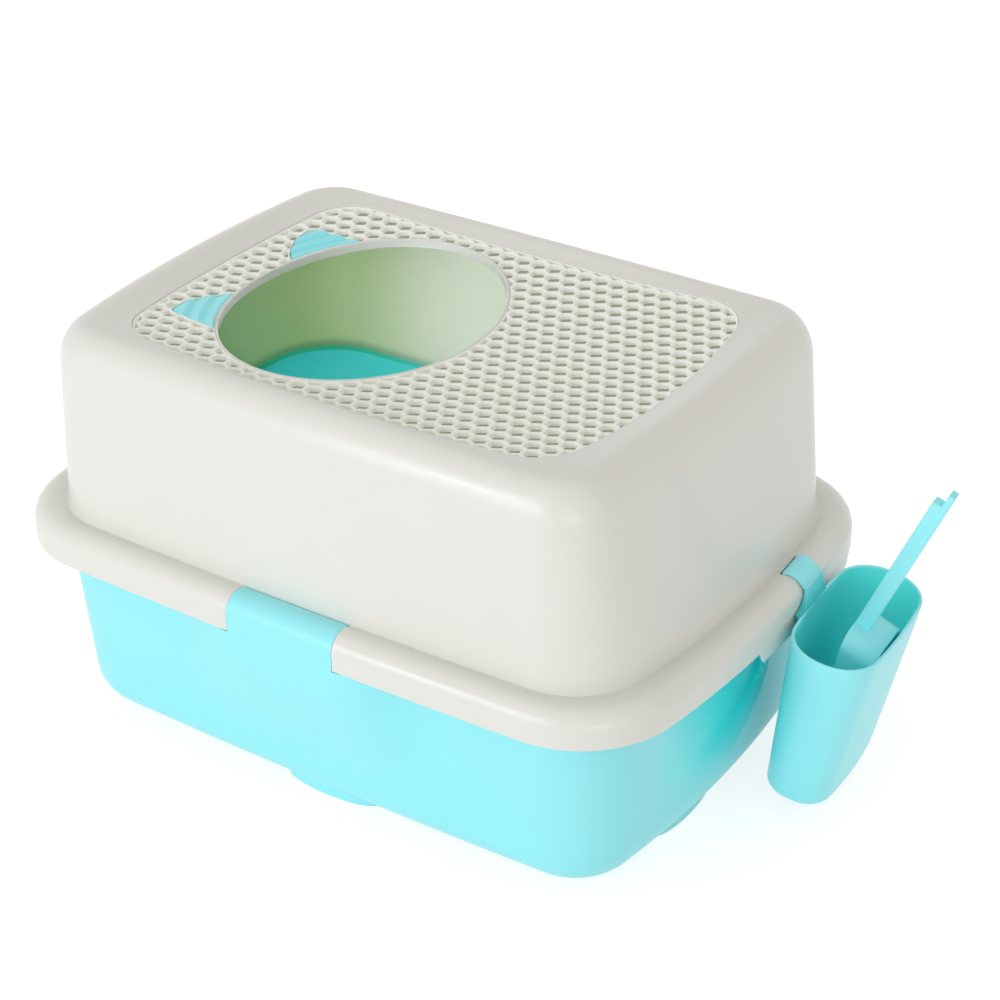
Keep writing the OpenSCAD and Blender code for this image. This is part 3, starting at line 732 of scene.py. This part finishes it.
def inside(point, polygon):
    """Whether a point lies in a polygon."""
    x, y = point
    odd = False
    for (x1, y1), (x2, y2) in zip(polygon, np.roll(polygon, -1, axis=0)):
        if (y1 > y) != (y2 > y) and x < x1 + (y - y1) * (x2 - x1) / (y2 - y1):
            odd = not odd
    return odd


def triangulated(loops, more=()):
    """Triangles over a flat outline with holes, their points, and where each given point went."""
    flat = [p for loop in loops for p in loop] + list(more)
    starts = np.cumsum([0] + [len(loop) for loop in loops])
    faces = [list(range(start, start + len(loop))) for start, loop in zip(starts, loops)]
    made = delaunay_2d_cdt([Vector((float(x), float(y))) for x, y in flat], [], faces, 1, 1e-4, True)
    triangles = [tuple(face) for face, sources in zip(made[2], made[5]) if list(sources) == [0]]
    places = {sources[0]: i for i, sources in enumerate(made[3]) if len(sources)}
    return np.array([tuple(p) for p in made[0]]), triangles, places


# From a cell's lip down: how far the wall stands inside the cell, and how deep under the deck's face
CELL_LIP = -0.8
CELL_WALLS = ((-0.5, 0.14), (-0.2, 0.45), (0.0, 0.95), (0.4, DECK_DEEP - 0.8), (0.8, DECK_DEEP - 0.4))


def make_deck():
    cells = deck_cells()
    border = outline(DECK)[::2]
    collar = all_round_collar(180, 0.2)
    ears = [ear_outline(side, 0.25) for side in (-1, 1)]
    lips = [inset(cell, CELL_LIP) for cell in cells]
    flat, faces, _ = triangulated([border, collar] + ears + lips)
    points = [on_deck(flat)]
    materials = [0] * len(faces)

    def wall(loops, floor):
        """Joins loops downwards; the lowest faces have the deck plastic's darker copy, painted shade."""
        first = sum(len(loop) for loop in points)
        count = len(loops[0])
        points.extend(loops)
        _, quads = skin(loops)
        faces.extend(tuple(first + i for i in quad) for quad in quads)
        materials.extend([0] * min(len(quads), 4 * count) + [1] * max(len(quads) - 4 * count, 0))
        if floor:
            last = first + (len(loops) - 1) * count
            faces.append(tuple(range(last, last + count)))
            materials.append(1)

    for cell, lip in zip(cells, lips):
        loops = [on_deck(lip)]
        for by, down in CELL_WALLS:
            loops.append(on_deck(inset(cell, by) if by else cell, -down))
        wall(loops, True)
    for loop in [border[::-1], collar] + ears:
        wall([on_deck(loop, -down) for down in (0, 0.4, DECK_DEEP)], False)
    points = np.concatenate(points)
    plastics = [lattice, lattice_shaded]
    deck = new_piece("honeycomb", points, faces, "hood", plastics, materials, SHARP_INSERT)
    modifier = deck.modifiers.new("join", "WELD")
    modifier.merge_threshold = 0.00002
    apply_modifiers(deck, SHARP_INSERT)
    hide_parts("honeycomb_deck")


EAR_UP = 1.0
EAR_ROUND = 1.4
EAR_GRID = 0.8
# A lap's height, and the share of its width that its steep step takes
LAP_RISE = 2.3
LAP_STEEP = 0.12


def from_collar(points):
    """Distances of points from the collar's outer edge."""
    points = points + (HOLE_SHIFT, 0)
    half = np.array([HOLE_LEN, HOLE_WID]) / 2 + COLLAR_WID
    return np.linalg.norm(points, axis=1) * (1 - 1 / np.linalg.norm(points / half, axis=1))


def make_ear(side, name, node):
    """A ribbed insert: its laps follow the collar, each with a steep step on the collar's side."""
    border = []
    loose = ear_outline(side, 0)
    for p, q in zip(loose, np.roll(loose, -1, axis=0)):
        pieces = max(1, int(np.linalg.norm(q - p) / 0.9))
        border += [p + (q - p) * k / pieces for k in range(pieces)]
    border = np.array(border)
    low = np.floor(border.min(axis=0))
    high = border.max(axis=0)
    grid = []
    for x in np.arange(low[0], high[0], EAR_GRID):
        for y in np.arange(low[1], high[1], EAR_GRID):
            if inside((x, y), border) and np.linalg.norm(border - (x, y), axis=1).min() > LEAST_EDGE:
                grid.append((x, y))
    flat, triangles, places = triangulated([border], grid)
    lap = np.mod(from_collar(flat) * EAR_LAPS / from_collar(border).max(), 1.0)
    rise = np.where(lap < LAP_STEEP, lap / LAP_STEEP, (1 - lap) / (1 - LAP_STEEP))
    edge = np.array([np.linalg.norm(border - p, axis=1).min() for p in flat])
    rounding = 0.9 * (1 - np.sqrt(1 - (1 - np.clip(edge / EAR_ROUND, 0, 1)) ** 2))
    top = on_deck(flat, EAR_UP - LAP_RISE * (1 - rise) - rounding)
    points = np.concatenate([top, on_deck(border, SEAT_GAP - DECK_DEEP)])
    count = len(border)
    faces = list(triangles)
    for i in range(count):
        n = (i + 1) % count
        faces.append((len(flat) + i, len(flat) + n, places[n], places[i]))
    piece = new_piece(name, points, faces, "hood", [aqua_lit], sharp=SHARP_INSERT)
    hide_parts(node)


def tray_line(z, by=0.0):
    return grown(mix(TRAY_BASE, TRAY_RIM, z / FLANGE_LOW), -by)


LIP_TOP = WALL_FOOT - HOOD_WALL - LIFT_GAP
LIP_LINE = grown(FLANGE, -HOOD_WALL - LIFT_GAP)
LIP_ROUND = FLANGE_ROUND - HOOD_WALL - LIFT_GAP
LIP_LOW = FLANGE_LOW + 4
LIP_EDGE = 0.8
RECESS_START = -74
RECESS_FULL = -8
RECESS_STEP = 50
RECESS_BACK = 53
RECESS_LOW = 64
RECESS_DEEP = 5.5
SHADE_START = -100
SHADE_FULL = 15
# The recess's lower edge lifts towards its back corner, and is softer away from it
RECESS_LIFT = 16
RECESS_LIFT_RUN = 18
RECESS_CRISP = 7
RECESS_SOFT = 34
RECESS_SOFT_RUN = 45
# Round the recess the colour is painted deeper by a share, as painted shade, which fades towards the back
# and the floor
SHADE_AROUND = 0.4
SHADE_END = 150
SHADE_END_RUN = 50
SHADE_LOW = 60


def recess_share(x, y, z, start=RECESS_START, full=RECESS_FULL):
    """How deep the hand recess is, from 0 to 1: soft at its front, steep at its back and lower corner."""
    rise = smooth_step((y - start) / (full - start))
    step = smooth_step((RECESS_BACK - y) / (RECESS_BACK - RECESS_STEP))
    lift = np.clip((y - RECESS_STEP) / RECESS_LIFT_RUN + 1, 0, 1) ** 2
    low = RECESS_LOW + RECESS_LIFT * lift
    soft = RECESS_CRISP + RECESS_SOFT * smooth_step((RECESS_STEP - 8 - y) / RECESS_SOFT_RUN)
    floor = smooth_step((z - low - RECESS_CRISP + soft) / soft)
    return np.where(x > 0, rise * step * floor, 0)


def end_shade(x, y, z):
    """How much painted shade deepens the plastic's colour in the hand recess and round it, from 0 to 1."""
    near = smooth_step((y - SHADE_START) / (SHADE_FULL - SHADE_START))
    far = smooth_step((SHADE_END - y) / SHADE_END_RUN)
    around = np.where(x > 0, SHADE_AROUND * near * far * smooth_step(z / SHADE_LOW), 0)
    return 1 - (1 - around) * (1 - recess_share(x, y, z, SHADE_START, SHADE_FULL))


def end_recess(points, z):
    """Draws the right end's wall in over the hand recess."""
    x, y = points.T
    return np.column_stack([x - RECESS_DEEP * recess_share(x, y, z), y])


TAB_LOW = 34
TAB_TOP = FLANGE_LOW - 0.3
TAB_FADE = 60
# Above this height the wall is a little thinner
THIN_FROM = 128


def tab_bulge(points, z):
    """Draws the long walls out under the grip tabs, up to the flange's face."""
    x, y = points.T
    up = smooth_step((z - TAB_LOW) / (TAB_TOP - TAB_LOW)) * (z <= TAB_TOP)
    side_on = 1 - smooth_step((np.abs(x) - NOTCH_HALF + SEAT_GAP) / TAB_FADE)
    return np.column_stack([x, y + np.sign(y) * (FLANGE[1] / 2 - np.abs(y)) * up * side_on])


def tray_ring(z, by=0.0):
    points = outline(tray_line(z, by), TRAY_RIGHT_T)
    points = end_recess(points, z)
    if by == 0:
        points = tab_bulge(points, z)
    return level(points, z)


def tray_bottom(wall):
    """Rings over the rounded bottom edge from the floor up, a wall's thickness inside the outer face."""
    edge = TRAY_EDGE - wall
    rings = []
    for done, left in quarter(12):
        z = wall + edge * done
        rings.append(ring(tray_line(z, wall + edge * left), z, TRAY_RIGHT_T))
    return rings


def lip_ring(by, z):
    return ring(grown(LIP_LINE, -by), z, TRAY_RIGHT_T)


def lip_arc(by, top, radius):
    """Rings over the rolled rim from its side up and inwards."""
    return [lip_ring(by + radius * done, top - radius * left) for done, left in quarter(6)]


def inner_from(faces, first):
    """Material indices of a closed cup: 0 outside, and 1 for the faces from first on and for the floor."""
    indices = np.zeros(len(faces), int)
    indices[first:-2] = 1
    indices[-1] = 1
    return indices


def make_tray():
    turn = LIP_TOP - TRAY_WALL
    # The wall's rings lie closer together at the recess's lower edge
    heights = np.concatenate([np.arange(34, 60, 4), np.arange(60, 92, 2.0), np.arange(92, turn - 4, 6)])
    rings = tray_bottom(0)
    for z in (*heights[heights < TAB_TOP - 2], TAB_TOP - 1, TAB_TOP, TAB_TOP + 0.3, turn):
        rings.append(tray_ring(z))
    rings += lip_arc(TRAY_WALL, turn, LIP_ROUND - TRAY_WALL)[::-1]
    rings.append(lip_ring(TRAY_WALL, LIP_LOW))
    rings.append(lip_ring(0, LIP_LOW))
    rings += lip_arc(0, LIP_TOP, LIP_ROUND)
    inner_start = len(rings)
    rings.append(tray_ring(LIP_TOP, TRAY_WALL - LIP_EDGE))
    rings.append(tray_ring(LIP_TOP - LIP_EDGE, TRAY_WALL))
    for z in heights[::-1]:
        thinner = 0.7 * np.clip((z - THIN_FROM) / 2, 0, 1)
        rings.append(tray_ring(z, TRAY_WALL - thinner))
    rings += tray_bottom(TRAY_WALL)[::-1]
    points, faces = skin(rings, caps=True)
    indices = inner_from(faces, inner_start * len(rings[0]))
    tray = new_piece("tray_shell", points, faces, "tray", [aqua_tray, aqua_inside], indices)
    # Painted shade: the share by which the tray's colour is deepened in and round the hand recess
    recess = tray.data.attributes.new("recess", "FLOAT", "POINT")
    recess.data.foreach_set("value", end_shade(*points.T))
    points, faces = block(
        (-SLOT_IN - 3 * STRAP_THICK, -STRAP_WID / 2 - 2, FLANGE_TOP - TONGUE_DEEP - 2 - CUP_HEIGHT),
        (-SLOT_IN, STRAP_WID / 2 + 2, FLANGE_TOP + 1 - CUP_HEIGHT),
    )
    cut(tray, [(turned(points, HOLDER), faces)])
    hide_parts("tray")


def make_tab(side, name):
    """A grip tab: it stands on the tray's wall and fills the flange's notch."""
    face = FLANGE[1] / 2
    half = NOTCH_HALF - SEAT_GAP
    back = WALL[1] / 2 + 2 * LIFT_GAP
    profile = [(face, TAB_TOP), (face, FACE_TOP)]
    for done, left in quarter(14):
        profile.append((face - FLANGE_ROUND * done, FLANGE_TOP - FLANGE_ROUND * left))
    for behind, down in ((3, 0.7), (0.5, 1.2), (0, 1.8), (0, 8)):
        profile.append((back + behind, FLANGE_TOP - down))
    profile = np.array(profile)
    places = np.linspace(-half, half, 45)
    rows = [[(x, -y, z) for x in places] for y, z in profile]
    faces = strip(rows)
    toward = (face - FLANGE_ROUND - 2, FLANGE_TOP - FLANGE_ROUND - 4) - profile
    within = profile + toward / np.linalg.norm(toward, axis=1)[:, None] * TRAY_WALL
    for column, x in ((0, -half), (len(places) - 1, half)):
        first = sum(len(row) for row in rows)
        rows.append([(x, -y, z) for y, z in within])
        for i in range(len(profile) - 1):
            low = column + i * len(places)
            quad = (low, low + len(places), first + i + 1, first + i)
            faces.append(quad if x > 0 else quad[::-1])
    points = np.concatenate(rows)
    if side > 0:
        points = points * (-1, -1, 1)
    new_piece(name, points, faces, "tray", [aqua], sharp=55)


# The photographed front foot pad reaches a little further than the solid
FOOT_MORE = 2
# A pad's heights, with how far its edge is rounded in at each
FOOT_EDGE = ((0, 0.8), (0.25, 0.3), (0.8, 0), (FOOT_TALL - 2, 0), (FOOT_TALL - 0.7, 0.6), (FOOT_TALL, 1.8))


def make_foot(turn, shift, wall_half, more, name):
    """A low pad under the rounded bottom edge."""
    reach = wall_half - FOOT_INSET + more
    back = wall_half - TRAY_EDGE + 1
    angles = np.linspace(math.pi, 0, 41)
    bulge = np.abs(np.sin(angles)) ** 0.5
    front = np.column_stack([(FOOT_LEN / 2 + more) * np.cos(angles), back + (reach - back) * bulge])
    rings = []
    for up, by in FOOT_EDGE:
        x, y = front.T
        rings.append(level(np.column_stack([x * (1 - 2 * by / FOOT_LEN), y - by * bulge]), up + 0.02))
    points = np.concatenate(rings)
    count = len(front)
    faces = [(b, a, d, c) for a, b, c, d in strip(rings)]
    faces.append(tuple(range(count)))
    faces.append(tuple(range(len(points) - 1, len(points) - count - 1, -1)))
    points = points + (shift, 0, 0)
    new_piece(name, turned(points, rotation(turn, "Z")), faces, "tray", [aqua])


# Below its rim the cup keeps clear of the flange's lower edge while it's unhooked
CUP_CLEAR = 0.4
CUP_CLEAR_FROM = 0.1
CUP_EDGE = 5


def cup_ring(down, by):
    t = down / CUP_TALL
    line = grown(mix(CUP_MOUTH, CUP_BASE, t), -by)
    clear = CUP_CLEAR * smooth_step(t / CUP_CLEAR_FROM)
    points = outline(line) + (line[0] / 2 + CUP_BASE_SHIFT * t + by + clear, 0)
    return level(points, -down)


def cup_side(wall):
    """Rings from the cup's floor up to near its rim, a wall's thickness inside the outer face."""
    edge = CUP_EDGE - wall
    rings = [cup_ring(CUP_TALL - wall - edge * done, wall + edge * left) for done, left in quarter(8)]
    return rings + [cup_ring(down, wall) for down in (100, 75, 50, 25, 8)]


def make_holder():
    rings = cup_side(0)
    for a in np.linspace(0, math.pi, 9):
        rings.append(cup_ring(CUP_WALL / 2 * (1 - math.sin(a)), CUP_WALL / 2 * (1 - math.cos(a))))
    inner_start = len(rings) - 2
    rings += cup_side(CUP_WALL)[::-1]
    points, faces = skin(rings, caps=True)
    points = turned(points, HOLDER @ rotation(CUP_LEAN, "Y"))
    indices = inner_from(faces, inner_start * len(rings[0]))
    plastics = [aqua_lit, aqua_cup_inside]
    cup = new_piece("holder_cup", points, faces, "holder", plastics, indices)
    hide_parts("scoop_holder")
    make_hook()


STRAP_FILLET_BACK = 3
STRAP_EDGE = 0.6
# Below this height over the cup's rim the strap is painted darker, in the colour of the cup's inside:
# painted shade
STRAP_SHADE = 22


def fillet_reach(z, radius):
    """Half width of the strap at a height over the rim, on a side with a fillet."""
    down = min(max(radius - max(z, 0.0), 0.0), radius)
    return STRAP_WID / 2 + radius - math.sqrt(radius**2 - down**2)


def make_hook():
    """The strap: a thin plate that widens into the rim, bends over the flange and dips into the slot."""
    rise = FLANGE_TOP - CUP_HEIGHT + LIFT_GAP
    tongue = -SLOT_IN - STRAP_THICK - LIFT_GAP
    path = []
    for z in (-5.0, -2.5, *np.linspace(-1, STRAP_FILLET, 15)):
        share = smooth_step(1 - z / STRAP_FILLET)
        front = (CUP_WALL - 0.05) * share + min(z, 0.0) * math.sin(math.radians(CUP_LEAN))
        sides = (fillet_reach(z, STRAP_FILLET), fillet_reach(z, STRAP_FILLET_BACK))
        rear = -STRAP_THICK * smooth_step(1 + z / 5) - 0.1
        path.append(((front + rear) / 2, z, (front - rear) / 2, *sides))
    straight = (STRAP_THICK / 2, STRAP_WID / 2, STRAP_WID / 2)
    top = rise + STRAP_THICK / 2
    radius = FLANGE_ROUND + LIFT_GAP + STRAP_THICK / 2
    for done, left in quarter(12):
        if top - radius * left > STRAP_FILLET + 0.5:
            path.append((-STRAP_THICK / 2 - radius * done, top - radius * left, *straight))
    turn = STRAP_THICK * 0.7
    for done, left in quarter(4)[1:]:
        path.append((tongue + STRAP_THICK * 0.2 - turn * (1 - left), top - turn * done, *straight))
    path.append((tongue - STRAP_THICK / 2, rise - TONGUE_DEEP, *straight))
    centre = np.array([p[:2] for p in path])
    along = np.gradient(centre, axis=0)
    along /= np.linalg.norm(along, axis=1)[:, None]
    out = np.column_stack([along[:, 1], -along[:, 0]])
    rings = []
    for (x, z, thick, front_half, back_half), normal in zip(path, out):
        loop = []
        for start, sx, sy in ((0, 1, 1), (90, -1, 1), (180, -1, -1), (270, 1, -1)):
            for a in np.radians(start + np.array([0, 30, 60, 90])):
                half = back_half if sy > 0 else front_half
                u = sx * (thick - STRAP_EDGE) + STRAP_EDGE * math.cos(a)
                v = sy * (half - STRAP_EDGE) + STRAP_EDGE * math.sin(a)
                loop.append((x + normal[0] * u, v, z + normal[1] * u))
        rings.append(np.array(loop))
    points, faces = skin(rings, caps=True)
    strap = new_piece("holder_strap", turned(points, HOLDER), faces, "holder", [aqua_strap])
    # Painted shade on the strap's lower part, where it goes down into the cup
    foot = strap.data.attributes.new("foot", "FLOAT", "POINT")
    foot.data.foreach_set("value", smooth_step(1 - points[:, 2] / STRAP_SHADE))


# The photographed pan's top runs over into its sides without an edge
PAN_ROUND = 13


def arched(profile, top, half, radius):
    """A profile of (x, z) points as wide as twice half along Y; its top points drop over the end radius."""
    steps = quarter(8)
    rings = []
    for side, (done, left) in [(1, step) for step in steps[::-1]] + [(-1, step) for step in steps]:
        y = side * (half - radius * left)
        drop = radius * done
        rings.append(np.array([(x, y, z - drop if i in top else z) for i, (x, z) in enumerate(profile)]))
    return skin(rings, caps=True)


def make_scoop():
    mouth = HOLDER @ rotation(CUP_LEAN, "Y")
    scoop_at = mouth @ Matrix.Translation((SCOOP_OUT, 0, -SCOOP_SINK)) @ rotation(SCOOP_LEAN, "Y")
    pan_at = scoop_at @ rotation(PAN_LEAN - SCOOP_LEAN, "Y")
    bend = math.radians(SCOOP_LEAN - PAN_LEAN)
    pan_len = (CUP_TALL - CUP_WALL - LIFT_GAP - SCOOP_SINK) / math.cos(math.radians(PAN_LEAN))
    along = np.array([math.cos(bend), -math.sin(bend)])
    under = PAN_WALL * np.array([-math.sin(bend), -math.cos(bend)])
    outer = [
        (0, 0),
        (0, -pan_len),
        (PAN_WALL, -pan_len),
        (PAN_LIP_DEEP, -pan_len + PAN_LIP_TALL),
        (PAN_DEEP, -pan_len / 4),
        tuple(PAN_DEEP * along),
    ]
    inner = [
        tuple(under + PAN_WALL * (1 + math.sin(bend)) / math.cos(bend) * along),
        (PAN_WALL, -pan_len - 1),
        (2 * PAN_DEEP, -pan_len - 1),
        tuple(under + 2 * PAN_DEEP * along),
    ]
    points, faces = arched(outer, (0, 5), PAN_WID / 2, PAN_ROUND)
    pan = new_piece("scoop_pan", points, faces, "scoop", [aqua_lit])
    hollow = arched(inner, (0, 3), PAN_WID / 2 - PAN_WALL, PAN_ROUND - PAN_WALL)
    step = (PAN_WID - 2 * PAN_WALL) / SIEVE_COUNT
    cutters = [hollow]
    for i in range(SIEVE_COUNT):
        y = (i - (SIEVE_COUNT - 1) / 2) * step
        low = (-1, y - SIEVE_SLOT / 2, SIEVE_END - pan_len)
        cutters.append(block(low, (PAN_WALL + 1, y + SIEVE_SLOT / 2, -SIEVE_END)))
    cut(pan, cutters)
    rounded(pan, 0.7)
    pan.data.transform(metres(pan_at))
    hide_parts("scoop")
    handle_profile = [
        (PAN_WALL, -PAN_WALL / 2),
        (HANDLE_DEEP, -PAN_WALL / 2),
        (HANDLE_DEEP, HANDLE_LEN + PRONG_LEN),
        (HANDLE_DEEP - PRONG_DEEP, HANDLE_LEN + PRONG_LEN),
        (HANDLE_DEEP - PRONG_DEEP, HANDLE_LEN),
        (0, HANDLE_LEN),
        (0, 0),
    ]
    sides = [[(x, y, z) for x, z in handle_profile] for y in (HANDLE_WID / 2, -HANDLE_WID / 2)]
    points, faces = skin(sides, caps=True)
    handle = new_piece("scoop_handle", points, faces, "scoop", [aqua_lit])
    rounded(handle, 0.8)
    handle.data.transform(metres(scoop_at))


make_hood()
make_deck()
make_ear(-1, "ear_insert_front", "ear_front")
make_ear(1, "ear_insert_back", "ear_back")
make_tray()
make_tab(-1, "grip_tab_front")
make_tab(1, "grip_tab_back")
make_foot(180, 0, TRAY_BASE[1] / 2, FOOT_MORE, "foot_front")
make_foot(0, 0, TRAY_BASE[1] / 2, FOOT_MORE, "foot_back")
make_foot(-90, FOOT_END_SHIFT, TRAY_BASE[0] / 2, 0, "foot_right")
make_foot(90, -FOOT_END_SHIFT, TRAY_BASE[0] / 2, 0, "foot_left")
make_holder()
make_scoop()

# The camera stands where the photograph's outlines put it. The angles are in degrees, its place is in
# metres, and the focal length is a share of the picture's width
AZIMUTH = 34.473
ELEVATION = 30.523
ROLL = -0.897
FOCAL = 2.457
SENSOR = 36.0
PLACE = (0.87955, -1.20657, 1.04495)
camera_data = bpy.data.cameras.new("camera")
camera_data.sensor_width = SENSOR
camera_data.lens = SENSOR * FOCAL
camera_data.clip_start = 0.01
camera_data.clip_end = 50
camera = add_object("camera", camera_data)
camera_turn = rotation(AZIMUTH, "Z") @ rotation(90 - ELEVATION, "X") @ rotation(ROLL, "Z")
camera.matrix_world = Matrix.Translation(PLACE) @ camera_turn
bpy.context.scene.camera = camera


def area_light(name, place, aim, width, height, power, colour=(1, 1, 1)):
    light = bpy.data.lights.new(name, "AREA")
    light.shape = "RECTANGLE"
    light.size = width
    light.size_y = height
    light.energy = power
    light.color = colour
    lamp = add_object(name, light)
    lamp.location = place
    lamp.rotation_euler = (Vector(aim) - Vector(place)).to_track_quat("-Z", "Y").to_euler()
    return lamp


def by_ray(tree, lighting, seen, output):
    """One shader lights the scene; the camera, reflections and transmission see the other."""
    rays = tree.nodes.new("ShaderNodeLightPath")
    share = rays.outputs["Is Camera Ray"]
    for kind in ("Is Glossy Ray", "Is Transmission Ray"):
        either = tree.nodes.new("ShaderNodeMath")
        either.operation = "MAXIMUM"
        tree.links.new(share, either.inputs[0])
        tree.links.new(rays.outputs[kind], either.inputs[1])
        share = either.outputs["Value"]
    choose = tree.nodes.new("ShaderNodeMixShader")
    tree.links.new(share, choose.inputs["Fac"])
    tree.links.new(lighting, choose.inputs[1])
    tree.links.new(seen, choose.inputs[2])
    tree.links.new(choose.outputs["Shader"], output.inputs["Surface"])


# What the camera and reflections see of the floor: a little of its light and shadow, lifted to white
FLOOR_SHOWN = 0.42
FLOOR_LIFT = 0.755
FLOOR_HALF = 8.0
# The sky's light is stronger at the horizon than overhead
SKY_LOW = 0.84
SKY_TOP = 0.62


def make_floor():
    """A white floor that keeps the object's shadow."""
    corners = [(-1, -1, 0), (1, -1, 0), (1, 1, 0), (-1, 1, 0)]
    mesh = bpy.data.meshes.new("floor")
    mesh.from_pydata([Vector(corner) * FLOOR_HALF for corner in corners], [], [(0, 1, 2, 3)])
    material = bpy.data.materials.new("floor")
    material.use_nodes = True
    tree = material.node_tree
    tree.nodes.clear()
    output = tree.nodes.new("ShaderNodeOutputMaterial")
    lighting = new_node(tree, "ShaderNodeBsdfDiffuse", Color=(0.93, 0.93, 0.93, 1))
    shown = new_node(tree, "ShaderNodeBsdfDiffuse", Color=(FLOOR_SHOWN, FLOOR_SHOWN, FLOOR_SHOWN, 1))
    lift = new_node(tree, "ShaderNodeEmission", Strength=FLOOR_LIFT)
    total = tree.nodes.new("ShaderNodeAddShader")
    tree.links.new(shown.outputs["BSDF"], total.inputs[0])
    tree.links.new(lift.outputs["Emission"], total.inputs[1])
    by_ray(tree, lighting.outputs["BSDF"], total.outputs["Shader"], output)
    mesh.materials.append(material)
    floor = add_object("floor", mesh)


def make_sky():
    world = bpy.data.worlds.new("studio")
    bpy.context.scene.world = world
    world.use_nodes = True
    tree = world.node_tree
    sky = tree.nodes["Background"]
    sky.inputs["Color"].default_value = (1, 0.98, 0.94, 1)
    place = tree.nodes.new("ShaderNodeTexCoord")
    split = tree.nodes.new("ShaderNodeSeparateXYZ")
    height = new_node(tree, "ShaderNodeMapRange", To_Min=SKY_LOW, To_Max=SKY_TOP)
    tree.links.new(place.outputs["Generated"], split.inputs["Vector"])
    tree.links.new(split.outputs["Z"], height.inputs["Value"])
    tree.links.new(height.outputs["Result"], sky.inputs["Strength"])
    seen = new_node(tree, "ShaderNodeBackground", Color=(1, 1, 1, 1), Strength=1.0)
    by_ray(tree, sky.outputs["Background"], seen.outputs["Background"], tree.nodes["World Output"])


make_floor()
make_sky()
area_light("key", (-0.55, -2.35, 0.8), (0, 0, 0.15), 1.6, 1.2, 18, (0.92, 0.955, 1.0))
area_light("side", (2.1, -1.7, 0.35), (0.28, 0, 0.14), 0.8, 0.5, 4.6, (0.94, 0.98, 1.0))
area_light("streak", (-1.03, -2.18, 0.89), (0.15, -0.165, 0.29), 0.14, 0.35, 1.3)
fill_at = (-0.06, -0.09, 0.19)
fill = area_light("inside_fill", fill_at, (-0.09, 0.16, 0.2), 0.16, 0.04, 0.08, (0.97, 0.99, 1.0))
fill.data.spread = math.radians(80)
fill.visible_camera = False

bpy.context.scene.view_settings.view_transform = "Standard"
